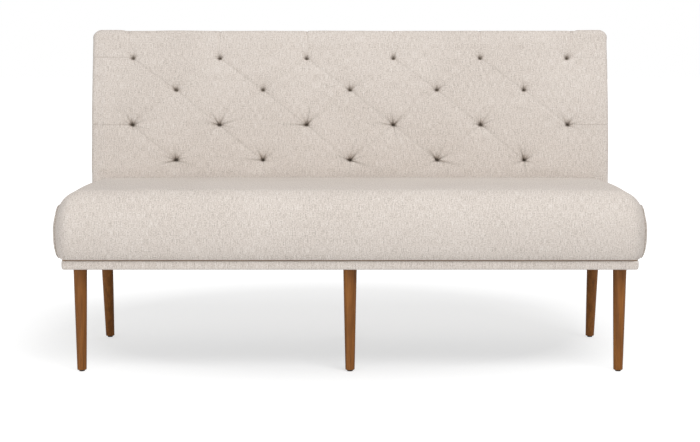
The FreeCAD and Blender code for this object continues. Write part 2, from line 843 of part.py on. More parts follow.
def tack_rail_spans():
    """The x range of each short rail between the posts."""
    half = board_thickness / 2
    edges = [-end_post_x + half, -centre_post_x - half, -centre_post_x + half,
             centre_post_x - half, centre_post_x + half, end_post_x - half]
    return list(zip(edges[::2], edges[1::2]))


def tack_rail(span):
    low, high = tuft_board_foot, tuft_board_foot + tack_rail_height
    near, far = board_rear_offset, board_rear_offset + tack_rail_thickness
    corners = [face_point(low, near), face_point(low, far), face_point(high, far), face_point(high, near)]
    return prism(chain(corners + corners[:1]), span)


def tuft_board():
    """The bent plywood that the foam lies on and the tufts are tied through."""
    edges = face_edges(tuft_board_foot, frame_top, board_front_offset)
    edges += face_edges(tuft_board_foot, frame_top, board_rear_offset)
    for z in (tuft_board_foot, frame_top):
        edges.append(Part.makeLine(face_point(z, board_front_offset), face_point(z, board_rear_offset)))
    board = prism(edges, (-frame_inner_half, frame_inner_half))
    holes = [tuft_rod(x, z, 0, board_rear_offset + 5, board_hole_diameter) for x, z in tuft_places()]
    return board.cut(holes)


def post_bolt(place):
    """A bolt with a low round head sunk in the rail."""
    side, outer, inner, depth = place
    head_end = Vector(side * (outer - fit_gap), depth, bolt_height)
    neck = Vector(side * (outer - fit_gap - bolt_head_height), depth, bolt_height)
    tail = Vector(side * (inner - washer_thickness - nut_height - 3), depth, bolt_height)
    return rod(head_end, neck, bolt_head_diameter).fuse(rod(neck, tail, post_bolt_diameter)).removeSplitter()


def bored(solid, place):
    """A nut or washer with the bolt's hole through it."""
    side, outer, inner, depth = place
    start = Vector(side * (inner + 1), depth, bolt_height)
    end = Vector(side * (inner - 30), depth, bolt_height)
    return solid.cut(rod(start, end, post_bolt_diameter + 2 * hole_gap))


def post_washer(place):
    side, outer, inner, depth = place
    start = Vector(side * inner, depth, bolt_height)
    end = Vector(side * (inner - washer_thickness), depth, bolt_height)
    return bored(rod(start, end, washer_diameter), place)


def post_nut(place):
    """A hexagon nut behind its washer."""
    side, outer, inner, depth = place
    radius = nut_across_flats / math.sqrt(3)
    x = side * (inner - washer_thickness)
    corners = [Vector(x, depth + radius * math.cos(math.radians(60 * i)),
                      bolt_height + radius * math.sin(math.radians(60 * i))) for i in range(6)]
    face = Part.Face(Part.makePolygon(corners + corners[:1]))
    return bored(face.extrude(Vector(-side * nut_height, 0, 0)), place)


def board_screws():
    return group([screw(tip, head, board_screw_diameter, board_screw_head)
                  for tip, head in board_screw_ends()])


# Back upholstery

def tuft_rod(x, z, start, end, diameter):
    """A round bar on a tuft's axis, between two distances in from the face."""
    inwards = face_inwards(z)
    return rod(tuft_mouth(x, z) + inwards * start, tuft_mouth(x, z) + inwards * end, diameter)


def twine_holes():
    diameter = twine_diameter + 2 * hole_gap
    return [tuft_rod(x, z, tuft_depth - 5, board_front_offset + 5, diameter) for x, z in tuft_places()]


def back_core():
    """The space that the frame, the board and the hollow behind it take inside the back's foam."""
    half = frame_inner_half + fit_gap
    top = frame_top + fit_gap
    edges = face_edges(tuft_board_foot, top, board_front_offset)
    edges += chain([face_point(top, board_front_offset), Vector(0, 900, top), Vector(0, 900, tuft_board_foot),
                    face_point(tuft_board_foot, board_front_offset)])
    return prism(edges, (-half, half))


def under_back():
    """The space under the back's foam: the seat frame, and what is below the tuft board."""
    half = frame_inner_half + fit_gap
    wide = frame_half + fit_gap
    low = block((-half, half), (400, 900), (100, tuft_board_foot))
    return [low, block((-wide, wide), (400, 900), (100, seat_rail_top + fit_gap))]


def back_foam():
    foam = tufted_form(cover_thickness).cut([back_core()] + under_back())
    return foam.cut(twine_holes())


def rear_zone(inset):
    """Everything behind the back's rear face at an inset."""
    low, high = 200.0, back_height + 50
    edges = chain([rear_point(low, inset), rear_point(high, inset), Vector(0, 950, high), Vector(0, 950, low),
                   rear_point(low, inset)])
    return prism(edges, (-900, 900))


def border_zone():
    return block((-900, 900), (400, 900), (100, border_top))


def back_cover_front():
    """The tufted cover over the front, ends and top. Below the foam only its ends go down to the border."""
    shell = tufted_form(0).cut([tufted_form(cover_thickness), rear_zone(cover_thickness), border_zone()])
    return shell.cut(under_back() + twine_holes())


def back_cover_rear():
    panel = back_form(0).common(rear_zone(cover_thickness))
    return panel.cut(border_zone())


def twine(x, z):
    """A length of twine from the stitch to a knot behind the anchor."""
    behind = tuft_anchor_start + anchor_thickness + hole_gap
    length = tuft_rod(x, z, tuft_depth, behind, twine_diameter)
    knot = tuft_rod(x, z, behind, behind + twine_knot_length, twine_knot_diameter)
    return length.fuse(knot).removeSplitter()


def anchor(x, z):
    disc = tuft_rod(x, z, tuft_anchor_start, tuft_anchor_start + anchor_thickness, anchor_diameter)
    hole = tuft_rod(x, z, tuft_anchor_start - 1, tuft_anchor_start + 5, twine_diameter + 2 * hole_gap)
    return disc.cut(hole)


def stitch(x, z):
    return tuft_rod(x, z, tuft_depth - tuft_tab_thickness, tuft_depth, tuft_tab_diameter)


# All the pieces

def timber():
    """The seat frame's rails and blocks, drilled."""
    holes = frame_holes()
    pieces = {
        "seat_front_rail": long_rail(frame_front, rail_inner_front, frame_front),
        "seat_rear_rail": long_rail(rail_inner_rear, frame_rear, frame_rear),
        "seat_end_rail_left": short_rail(-end_rail_x, frame_underside, seat_rail_top),
        "seat_end_rail_right": short_rail(end_rail_x, frame_underside, seat_rail_top),
        "seat_cross_rail_left": short_rail(-cross_rail_x, frame_underside, cross_rail_top),
        "seat_cross_rail_right": short_rail(cross_rail_x, frame_underside, cross_rail_top),
        "seat_centre_rail": short_rail(0.0, block_top, centre_rail_top),
        "back_post_left": post(-end_post_x),
        "back_post_centre_left": post(-centre_post_x),
        "back_post_centre_right": post(centre_post_x),
        "back_post_right": post(end_post_x),
        "back_top_rail": top_rail(),
        "tuft_board": tuft_board(),
    }
    pieces = {node: drilled(shape, holes) for node, shape in pieces.items()}
    corners = [corner_block(side, depth, inward) for side in (-1, 1)
               for depth, inward in ((rail_inner_front, 1), (rail_inner_rear, -1))]
    centres = [centre_block(rail_inner_front, 1), centre_block(rail_inner_rear, -1)]
    pieces["corner_blocks"] = group([drilled(shape, holes) for shape in corners])
    pieces["centre_blocks"] = group([drilled(shape, holes) for shape in centres])
    pieces["back_tack_rails"] = group([drilled(tack_rail(span), holes) for span in tack_rail_spans()])
    pieces["frame_dowels"] = dowels()
    return pieces


def legs():
    """The legs with their glides, bolts, plates and screws."""
    names = [row + "_" + side for row in ("front", "rear") for side in ("left", "centre", "right")]
    pieces = {}
    for name, place in zip(names, leg_places()):
        pieces["leg_" + name] = leg(place)
        pieces["glide_" + name] = glide(place)
    pieces["hanger_bolts"] = group([hanger_bolt(place) for place in leg_places()])
    pieces["leg_plates_front"] = group([leg_plate(place) for place in leg_places() if not place[2]])
    pieces["leg_plates_rear"] = group([leg_plate(place) for place in leg_places() if place[2]])
    pieces["plate_screws"] = plate_screws()
    return pieces


def suspension():
    return {
        "sinuous_springs": springs(),
        "spring_clips": group([clip(*place) for place in clip_places()]),
        "clip_nails": group([clip_nail(*place) for place in clip_places()]),
        "tie_wires": group([tie_wire(depth) for depth in tie_wire_depths]),
        "spring_insulator": insulator(),
    }


def seat_upholstery():
    shell = seat_shell()
    left, right = end_panel_zone(-1), end_panel_zone(1)
    return {
        "seat_foam": seat_foam(),
        "seat_cover": shell.cut([left, right]),
        "seat_end_panel_left": shell.common(left),
        "seat_end_panel_right": shell.common(right),
        "rail_border": rail_border(),
        "dust_cover": dust_cover(),
    }


def back_upholstery():
    return {
        "back_foam": back_foam(),
        "back_cover_front": back_cover_front(),
        "back_cover_rear": back_cover_rear(),
        "tuft_twines": group([twine(x, z) for x, z in tuft_places()]),
        "tuft_stitches": group([stitch(x, z) for x, z in tuft_places()]),
        "tuft_anchors": group([anchor(x, z) for x, z in tuft_places()]),
    }


def back_fixings():
    return {
        "post_bolts": group([post_bolt(place) for place in bolt_places()]),
        "post_washers": group([post_washer(place) for place in bolt_places()]),
        "post_nuts": group([post_nut(place) for place in bolt_places()]),
        "board_screws": board_screws(),
    }


os.makedirs("parts", exist_ok=True)
for make in (timber, legs, suspension, seat_upholstery, back_upholstery, back_fixings):
    for node, shape in make().items():
        shape.translate(Vector(0, -origin_depth, 0))
        shape.exportStep("parts/" + node + ".step")
        print(node, shape.isValid(), len(shape.Solids))
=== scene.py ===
# The looks of an upholstered bench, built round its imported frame. Metres, +X along the bench, +Y to the back.
import math

import bmesh
import bpy
import numpy as np
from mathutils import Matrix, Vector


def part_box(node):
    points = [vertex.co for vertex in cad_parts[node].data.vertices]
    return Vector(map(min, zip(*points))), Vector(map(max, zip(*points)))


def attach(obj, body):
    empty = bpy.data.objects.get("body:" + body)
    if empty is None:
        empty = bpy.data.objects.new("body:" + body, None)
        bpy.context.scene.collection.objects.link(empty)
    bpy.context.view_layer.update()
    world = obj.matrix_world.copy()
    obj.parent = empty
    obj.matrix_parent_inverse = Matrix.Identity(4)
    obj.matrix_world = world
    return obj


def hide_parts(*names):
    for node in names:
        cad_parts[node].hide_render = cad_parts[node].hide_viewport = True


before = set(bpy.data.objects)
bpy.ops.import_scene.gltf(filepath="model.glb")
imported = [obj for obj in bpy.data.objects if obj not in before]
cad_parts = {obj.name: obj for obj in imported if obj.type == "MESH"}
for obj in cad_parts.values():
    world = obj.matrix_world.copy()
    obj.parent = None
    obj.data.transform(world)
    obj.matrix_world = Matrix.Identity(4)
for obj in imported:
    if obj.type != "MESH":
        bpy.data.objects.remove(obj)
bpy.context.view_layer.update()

# Places taken from the frame. A depth is measured back from the rail's front face.
railLow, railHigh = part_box("rail_border")
railFront = railLow.y
railHalf = railHigh.x
railDepth = railHigh.y - railLow.y
railTop = railHigh.z
backFoot = railTop + 0.0002  # the back's cloth starts just over the rail
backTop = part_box("back_cover_front")[1].z
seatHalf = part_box("seat_end_panel_right")[1].x - 0.0020  # the cushion's ends are a little tighter than the solids
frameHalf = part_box("seat_front_rail")[1].x
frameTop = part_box("seat_front_rail")[1].z
insulatorLow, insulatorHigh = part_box("spring_insulator")

print("frame loaded:", len(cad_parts), "nodes")


# Mesh helpers

# Quads of a grid of points, numbered along each row
def gridQuads(rows, columns):
    row, column = np.mgrid[0:rows - 1, 0:columns - 1]
    corner = row * columns + column
    return np.stack([corner, corner + 1, corner + columns + 1, corner + columns], axis=-1).reshape(-1, 4)


# One grid as a part of a mesh: its points, its quads, its place on the cloth in metres and how much painted
# shade it takes in a pit, fold, crease or seam, from 0 to 1
def gridPart(points, u, v, paintedShade=0.0):
    rows, columns = points.shape[:2]
    cloth = np.stack(np.broadcast_arrays(u, v), axis=-1)
    shade = np.broadcast_to(paintedShade, (rows, columns)).ravel()
    return points.reshape(-1, 3), gridQuads(rows, columns).tolist(), cloth.reshape(-1, 2), shade


# A face that closes a ring of points, with its place on the cloth
def capPart(ring):
    return ring, [list(range(len(ring)))], ring[:, [1, 2]], np.zeros(len(ring))


# A new object in the scene
def addObject(name, data):
    made = bpy.data.objects.new(name, data)
    bpy.context.scene.collection.objects.link(made)
    return made


# Joins parts into one piece: equal points are merged, faces turn outwards where the piece is closed
def makePiece(name, parts, material, closed=True):
    points = np.concatenate([part[0] for part in parts])
    cloth = np.concatenate([part[2] for part in parts])
    faces = []
    first = 0
    for part in parts:
        faces += [[first + corner for corner in face] for face in part[1]]
        first += len(part[0])
    corners = np.fromiter((corner for face in faces for corner in face), dtype=np.int64)
    mesh = bpy.data.meshes.new(name)
    mesh.from_pydata(points.tolist(), [], faces)
    mesh.uv_layers.new(name="cloth").data.foreach_set("uv", cloth[corners].ravel())
    # each point's share of painted shade, kept for the cloth's colour
    paintedShades = np.concatenate([part[3] for part in parts])
    mesh.attributes.new("paintedShade", "FLOAT", "POINT").data.foreach_set("value", paintedShades)
    work = bmesh.new()
    work.from_mesh(mesh)
    bmesh.ops.remove_doubles(work, verts=work.verts, dist=1e-6)
    if closed:
        bmesh.ops.recalc_face_normals(work, faces=work.faces)
    work.to_mesh(mesh)
    work.free()
    mesh.polygons.foreach_set("use_smooth", np.ones(len(mesh.polygons), bool))
    mesh.materials.append(material)
    piece = addObject(name, mesh)
    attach(piece, "root")
    return piece


# Unit normals of a grid: the cross product of its two directions
def gridNormals(points):
    normal = np.cross(np.gradient(points, axis=1), np.gradient(points, axis=0))
    return normal / np.maximum(np.linalg.norm(normal, axis=-1, keepdims=True), 1e-12)


# Lengths along one axis of a grid, added up from its first point
def runLength(points, axis):
    steps = np.linalg.norm(np.diff(points, axis=axis), axis=-1)
    start = np.zeros_like(np.take(steps, [0], axis=axis))
    return np.cumsum(np.concatenate([start, steps], axis=axis), axis=axis)


# Positions from low to high, a step apart and closer near each centre
def closerSteps(low, high, step, centres, reach, gain):
    fine = np.linspace(low, high, 6000)
    density = np.ones_like(fine)
    for centre in centres:
        density += gain * np.exp(-((fine - centre) / reach) ** 2)
    total = np.concatenate([[0.0], np.cumsum((density[1:] + density[:-1]) / 2 * np.diff(fine))])
    count = int(round(total[-1] / step)) + 1
    return np.interp(np.linspace(0, total[-1], count), total, fine)


# Slow waves over a cloth: their height times a sum of cosines of random direction, length and phase
def slowWaves(u, v, high, shortest, longest, count, seed):
    draw = np.random.default_rng(seed)
    total = 0.0
    for _ in range(count):
        length = draw.uniform(shortest, longest)
        angle = draw.uniform(0, math.pi)
        phase = draw.uniform(0, 2 * math.pi)
        total = total + np.cos((u * math.cos(angle) + v * math.sin(angle)) * 2 * math.pi / length + phase)
    return high * (total / math.sqrt(count))


# A share that climbs evenly from 0 to 1 over a run and stays 1
def fadeIn(length, run):
    return np.clip(length / run, 0, 1)


# Share left of a form that rounds off past a start, as a quarter ellipse: 1 before it, 0 at the end of the run
def roundOff(past, run):
    return np.sqrt(1 - fadeIn(past, run) ** 2)


# Share of a form's height near its edge: it rises as a quarter circle over the run and stays 1
def roundOn(inside, run):
    return np.sqrt(1 - (1 - fadeIn(inside, run)) ** 2)


# A bell curve: 1 at the middle, gone at two widths
def bell(offset, width):
    return np.exp(-(offset / width) ** 2)


# Materials

# Adds a node; an input is a number or another node's output
def addNode(tree, kind, inputs=None, **settings):
    made = tree.nodes.new(kind)
    for key, value in settings.items():
        setattr(made, key, value)
    for key, value in (inputs or {}).items():
        if isinstance(value, bpy.types.NodeSocket):
            tree.links.new(value, made.inputs[key])
        else:
            made.inputs[key].default_value = value
    return made


# One step of arithmetic on sockets or numbers
def addMath(tree, operation, a, b=0.0, clamp=False):
    return addNode(tree, "ShaderNodeMath", {0: a, 1: b}, operation=operation, use_clamp=clamp).outputs[0]


# The sum of some sockets, each times its weight
def addSum(tree, sockets, weights):
    terms = [addMath(tree, "MULTIPLY", socket, weight) for socket, weight in zip(sockets, weights)]
    total = terms[0]
    for term in terms[1:]:
        total = addMath(tree, "ADD", total, term)
    return total


# A value from 0 to 1 raised to run from a low value to 1
def addLift(tree, value, low):
    return addMath(tree, "ADD", addMath(tree, "MULTIPLY", value, 1 - low), low)


# Noise drawn out by a cell's size along each axis, in metres
def addNoise(tree, vector, cell, detail=2.0, roughness=0.5):
    scale = tuple(1 / size for size in cell)
    mapped = addNode(tree, "ShaderNodeMapping", {"Vector": vector, "Scale": scale}).outputs[0]
    inputs = {"Vector": mapped, "Scale": 1.0, "Detail": detail, "Roughness": roughness}
    return addNode(tree, "ShaderNodeTexNoise", inputs).outputs["Fac"]


# Colours that follow a value, each at its stop
def addRamp(tree, value, stops, colours):
    made = addNode(tree, "ShaderNodeValToRGB", {"Fac": value})
    ramp = made.color_ramp
    while len(ramp.elements) < len(stops):
        ramp.elements.new(0.5)
    for element, stop, colour in zip(ramp.elements, stops, colours):
        element.position = stop
        element.color = (*colour, 1.0)
    return made.outputs["Color"]


# A new material with its shader's fixed numbers set on the shader's own sockets
def startMaterial(name, fixed):
    material = bpy.data.materials.new(name)
    material.use_nodes = True
    tree = material.node_tree
    shader = tree.nodes["Principled BSDF"]
    for key, value in fixed.items():
        shader.inputs[key].default_value = value
    return material, tree, shader


# Links a colour and a relief to the shader
def finishMaterial(tree, shader, colour, height, strength, distance=0.0003):
    tree.links.new(colour, shader.inputs["Base Color"])
    bump = addNode(tree, "ShaderNodeBump", {"Height": height, "Strength": strength, "Distance": distance})
    tree.links.new(bump.outputs["Normal"], shader.inputs["Normal"])


linen = {
    "fixed": {"Roughness": 0.92, "Sheen Weight": 0.06, "Sheen Roughness": 0.45},
    "colours": ((0.150, 0.120, 0.095), (0.670, 0.602, 0.546), (0.980, 0.960, 0.940)),
    "stops": (0.22, 0.53, 0.84),
    # the dark brown that painted shade in the pits, folds, creases and seams darkens the cloth towards
    "paintedShadeColour": (0.125, 0.092, 0.058, 1.0),
    "slub": (0.0016, 0.0230, 1.0),
    "cross": (0.0090, 0.0020, 1.0),
    "speck": (0.0024, 0.0036, 1.0),
    "drift": (0.18, 0.18, 0.18),
    "toneWeights": (0.46, 0.14, 0.40, 0.06),
    "thread": 0.0012,
    "reliefWeights": (0.25, 1.3, 0.7),
    "bump": 0.55,
    "bumpDistance": 0.0005,
}


# Oatmeal linen. Its tone is a weighted sum of thick and thin warp slubs, weaker weft slubs, specks and a slow
# drift, and in the pits, folds, creases and seams a painted shade darkens it towards a dark brown. Its relief is
# a plain weave, two sines multiplied, with the slubs and specks on it.
def makeLinen(name):
    s = linen
    material, tree, shader = startMaterial(name, s["fixed"])
    cloth = addNode(tree, "ShaderNodeUVMap", uv_map="cloth").outputs["UV"]
    place = addNode(tree, "ShaderNodeTexCoord").outputs["Object"]
    slub = addNoise(tree, cloth, s["slub"], 3.0, 0.62)
    cross = addNoise(tree, cloth, s["cross"], 2.0, 0.55)
    speck = addNoise(tree, cloth, s["speck"], 1.0)
    drift = addNoise(tree, place, s["drift"], 2.0)
    tone = addSum(tree, (slub, cross, speck, drift), s["toneWeights"])
    colour = addRamp(tree, tone, s["stops"], s["colours"])
    # painted shade: the points' shares darken the colour in the pits, folds, creases and seams
    paintedShade = addNode(tree, "ShaderNodeAttribute", attribute_name="paintedShade").outputs["Fac"]
    shaded = addNode(tree, "ShaderNodeMix", {0: paintedShade, 6: colour}, data_type="RGBA")
    shaded.inputs[7].default_value = s["paintedShadeColour"]
    along = addNode(tree, "ShaderNodeSeparateXYZ", {0: cloth}).outputs
    turn = math.pi / s["thread"]
    warp = addMath(tree, "SINE", addMath(tree, "MULTIPLY", along[0], turn))
    weft = addMath(tree, "SINE", addMath(tree, "MULTIPLY", along[1], turn))
    height = addSum(tree, (addMath(tree, "MULTIPLY", warp, weft), slub, speck), s["reliefWeights"])
    finishMaterial(tree, shader, shaded.outputs[2], height, s["bump"], s["bumpDistance"])
    return material


wood = {
    "stops": (0.30, 0.50, 0.70),
    "streakLong": 0.7,
    "streakShort": 0.22,
    "toneWeights": (0.62, 0.38),
    "poreStops": (0.30, 0.46),
    "poreColours": ((0.72, 0.70, 0.68), (1.0, 1.0, 1.0)),
    "poreShare": 0.8,
}

walnut = {
    "fixed": {"Roughness": 0.45, "Specular IOR Level": 0.25},
    "colours": ((0.130, 0.045, 0.008), (0.232, 0.084, 0.015), (0.335, 0.130, 0.026)),
    "grain": (0.16, 0.011),
    "pore": (0.020, 0.0009),
    "bump": 0.15,
}

frameWood = {
    "fixed": {"Roughness": 0.7},
    "colours": ((0.20, 0.125, 0.070), (0.29, 0.190, 0.112), (0.37, 0.255, 0.160)),
    "grain": (0.22, 0.013),
    "pore": (0.03, 0.0012),
    "bump": 0.3,
}

rakeOfRearLegs = 9.75


# Size of a cell that is long on one axis and short on the others
def drawnOut(axis, long, short):
    return tuple(long if i == axis else short for i in range(3))


# Wood with its grain along one axis: broad grain and finer streaks in three tones, times darker pores
def makeWood(name, kind, axis, turn=0.0):
    long, short = kind["grain"]
    material, tree, shader = startMaterial(name, kind["fixed"])
    place = addNode(tree, "ShaderNodeTexCoord").outputs["Object"]
    place = addNode(tree, "ShaderNodeMapping", {"Vector": place, "Rotation": (turn, 0, 0)}).outputs[0]
    grain = addNoise(tree, place, drawnOut(axis, long, short), 4.0, 0.62)
    streakCell = drawnOut(axis, long * wood["streakLong"], short * wood["streakShort"])
    streak = addNoise(tree, place, streakCell, 3.0)
    pores = addNoise(tree, place, drawnOut(axis, *kind["pore"]), 2.0)
    tone = addSum(tree, (grain, streak), wood["toneWeights"])
    base = addRamp(tree, tone, wood["stops"], kind["colours"])
    dark = addRamp(tree, pores, wood["poreStops"], wood["poreColours"])
    mixed = addNode(tree, "ShaderNodeMix", {6: base, 7: dark}, data_type="RGBA", blend_type="MULTIPLY")
    mixed.inputs[0].default_value = wood["poreShare"]
    finishMaterial(tree, shader, mixed.outputs[2], addMath(tree, "ADD", pores, tone), kind["bump"])
    return material


# Plain stuff such as steel, plastic, foam, felt and twine: two tones of noise with its own grain size
def makeStuff(name, tones, cell, fixed, bump):
    material, tree, shader = startMaterial(name, fixed)
    place = addNode(tree, "ShaderNodeTexCoord").outputs["Object"]
    speck = addNoise(tree, place, cell, 3.0, 0.6)
    colour = addRamp(tree, speck, (0.35, 0.65), tones)
    finishMaterial(tree, shader, colour, speck, bump)
    return material


finishes = {
    "fabric": makeLinen("linen"),
    "walnut": makeWood("walnut", walnut, 2),
    "rakedWalnut": makeWood("rakedWalnut", walnut, 2, math.radians(rakeOfRearLegs)),
    "frameAlong": makeWood("frameWoodAlong", frameWood, 0),
    "frameAcross": makeWood("frameWoodAcross", frameWood, 1),
    "frameUp": makeWood("frameWoodUp", frameWood, 2),
    "steel": makeStuff("zincSteel", ((0.50, 0.50, 0.49), (0.66, 0.66, 0.65)), (0.004,) * 3,
                       {"Metallic": 1.0, "Roughness": 0.36}, bump=0.08),
    "glide": makeStuff("blackPlastic", ((0.012, 0.011, 0.010), (0.022, 0.020, 0.019)), (0.0015,) * 3,
                       {"Roughness": 0.48}, bump=0.12),
    "foam": makeStuff("foam", ((0.66, 0.62, 0.50), (0.80, 0.76, 0.64)), (0.0012,) * 3,
                      {"Roughness": 0.95}, bump=0.6),
    "felt": makeStuff("felt", ((0.16, 0.15, 0.15), (0.34, 0.33, 0.32)), (0.0030, 0.0030, 0.0008),
                      {"Roughness": 0.97}, bump=0.6),
    "dust_cloth": makeStuff("dustCloth", ((0.010, 0.010, 0.011), (0.030, 0.030, 0.032)), (0.0016,) * 3,
                            {"Roughness": 0.9}, bump=0.4),
    "twine": makeStuff("waxedTwine", ((0.30, 0.26, 0.21), (0.50, 0.44, 0.37)), (0.0006, 0.0020, 0.0006),
                       {"Roughness": 0.8}, bump=0.5),
}
print("materials made:", len(finishes))


# The back's form

backShape = {
    "seatDepth": 0.534,  # of the face at the seat
    "seatDepthHeight": 0.480,
    "lean": 7.6,
    "curveStart": 0.660,
    "curveRadius": 1.200,
    "topDepth": 0.705,  # of the rear face at the top
    "corner": 0.025,
    "frontEdge": 0.011,
    "lowFrontEdge": 0.002,
    "roundedFrom": 0.400,
    "roundedRun": 0.050,
    "rearEdge": 0.008,
    "wallRun": 0.066,
    "foamBack": 0.040,
    "skin": 0.0035,
    "step": 0.0034,
    "nearReach": 0.015,
    "nearGain": 2.6,
    "innerEvery": 9,
    "waves": (0.0011, 0.09, 0.30, 10, 3),  # height, shortest, longest, count, seed
    "waveRun": 0.03,
    "edgeRoll": 0.0016,  # a soft roll just inside the edge
    "rollInset": 0.012,
    "rollWidth": 0.014,
    "calmRun": 0.02,
    "pressedBelow": 0.505,  # where the seat cushion presses on it
    "pressedRun": 0.02,
    "pressedBy": 0.0012,
}

tufts = {
    "pitch": 0.257,
    "heights": (0.536, 0.639, 0.742, 0.836),
    "sink": 0.0045,
    "longRow": 6,
    "rowShare": (1.10, 1.0, 0.86, 0.86),
    "pitDepth": 0.0200,
    "pitReach": 0.0060,
    "pitPower": 1.35,
    "pitLean": 0.35,
    "dishDepth": 0.0040,
    "dishReach": 0.030,
    "upperFolds": 7,
    "lowerFolds": 3,
    "upperPast": 0.1,
    "lowerShare": 0.4,
    "foldTurn": 0.24,
    "foldShare": (1.15, 1.0, 0.62, 0.52),
    "foldDepth": 0.0052,
    "foldDepths": (0.2, 1.2),
    "foldLengths": (0.007, 0.021),
    "foldWidth": 0.0013,
    "foldWiden": 0.02,
    "foldStart": 0.004,
    "valleyDepth": 0.0007,
    "valleyWidth": 0.010,
    "creaseDepth": 0.0008,
    "creaseWidth": 0.0018,
    "risingShare": 0.35,
    "pleatDepth": 0.0044,
    "pleatWidth": 0.0034,
    "pleatPower": 1.5,
    "pleatFade": 0.06,
    "pleatDrift": 0.003,
    "outerPleatShift": -0.0145,
    "capShift": 0.0345,
    "capSwell": 0.0024,
    "capEdge": 0.003,
    "capDrop": 0.030,
    "capRun": 0.02,
    "sideCreases": ((-1, 1, 1.0), (1, 1, 0.8), (-1, 3, 0.7), (1, 3, 0.3)),  # side, row, share
    "sideCreaseDepth": 0.0012,
    "sideCreaseWidth": 0.0016,
    # painted shade in the pits, folds and creases, darkening the cloth's colour
    "darkPit": 1.6,
    "darkReach": 0.72,
    "darkFold": 0.0034,
    "darkCrease": 0.0048,
}


# Depth of the back's face at a height: a leaning line, then an arc that bends further back
def faceDepth(height):
    b = backShape
    lean = math.radians(b["lean"])
    bendDepth = b["seatDepth"] + (b["curveStart"] - b["seatDepthHeight"]) * math.tan(lean)
    centreDepth = bendDepth + b["curveRadius"] * math.cos(lean)
    centreHeight = b["curveStart"] - b["curveRadius"] * math.sin(lean)
    straight = bendDepth + (height - b["curveStart"]) * math.tan(lean)
    bent = centreDepth - np.sqrt(np.maximum(b["curveRadius"] ** 2 - (height - centreHeight) ** 2, 0))
    return np.where(height < b["curveStart"], straight, bent)


# Depth of the back's rear face: a line from the rail's rear edge to the top
def rearDepth(height):
    return railDepth + (backShape["topDepth"] - railDepth) * (height - railTop) / (backTop - railTop)


# Place on the back of a point given by how far it lies across and up the cloth. Past the flat face the cloth turns
# round the front edge, which is tighter behind the seat, runs along the wall and turns in at the rear. In the top
# corners the rings of equal reach go round quarter circles. The inner surface lies behind the foam, and a skin's
# thickness inside the walls.
def onBack(across, up, inner=False):
    b = backShape
    flatHalf = railHalf - b["corner"]
    flatHeight = backTop - b["corner"] - backFoot
    overX = np.maximum(np.abs(across) - flatHalf, 0)
    overZ = np.maximum(up - flatHeight, 0)
    reach = np.maximum(overX, overZ)
    safe = np.maximum(reach, 1e-9)
    turn = np.where(overX >= overZ, overZ / safe, 2 - overX / safe) * math.pi / 4
    rounded = fadeIn(up + backFoot - b["roundedFrom"], b["roundedRun"])
    edge = b["lowFrontEdge"] + (b["frontEdge"] - b["lowFrontEdge"]) * rounded
    flatEnd = b["corner"] - edge
    turnEnd = flatEnd + edge * math.pi / 2
    wallEnd = turnEnd + b["wallRun"]
    rimEnd = wallEnd + b["rearEdge"] * math.pi / 2
    if inner:
        radius = np.minimum(reach, b["corner"] - b["skin"])
    else:
        front = np.clip((reach - flatEnd) / edge, 0, math.pi / 2)
        rim = np.clip((reach - wallEnd) / b["rearEdge"], 0, math.pi / 2)
        radius = np.minimum(reach, flatEnd) + edge * np.sin(front) - b["rearEdge"] * (1 - np.cos(rim))
    x = np.sign(across) * (np.minimum(np.abs(across), flatHalf) + radius * np.cos(turn))
    z = backFoot + np.minimum(up, flatHeight) + radius * np.sin(turn)
    thickness = rearDepth(z) - faceDepth(z)
    if inner:
        share = fadeIn(reach - b["corner"] + b["skin"], rimEnd - b["corner"] + b["skin"])
        depth = b["foamBack"] + (thickness - b["skin"] - b["foamBack"]) * share
    else:
        wall = fadeIn(reach - turnEnd, b["wallRun"])
        depth = edge * (1 - np.cos(front)) + (thickness - edge - b["rearEdge"]) * wall
        depth += b["rearEdge"] * np.sin(rim)
    return np.stack([x, railFront + faceDepth(z) + depth, z], axis=-1)


# How far the cloth reaches past the flat face before its rear edge
def backReach():
    b = backShape
    return b["corner"] - b["frontEdge"] + (b["frontEdge"] + b["rearEdge"]) * math.pi / 2 + b["wallRun"]


# (across, up, row) of each tuft, rows counted from the seat
def tuftPlaces():
    places = []
    for row, height in enumerate(tufts["heights"]):
        count = tufts["longRow"] - (row + 1) % 2
        up = height - tufts["sink"] - backFoot
        places += [((i - (count - 1) / 2) * tufts["pitch"], up, row) for i in range(count)]
    return places


# A straight valley from one point to another: a bell curve across it that fades over its two ends
def valley(across, up, start, end, depth, width):
    run = math.hypot(end[0] - start[0], end[1] - start[1])
    along = ((across - start[0]) * (end[0] - start[0]) + (up - start[1]) * (end[1] - start[1])) / run
    aside = ((up - start[1]) * (end[0] - start[0]) - (across - start[0]) * (end[1] - start[1])) / run
    return depth * bell(aside, width) * (fadeIn(along, width) * fadeIn(run - along, width))
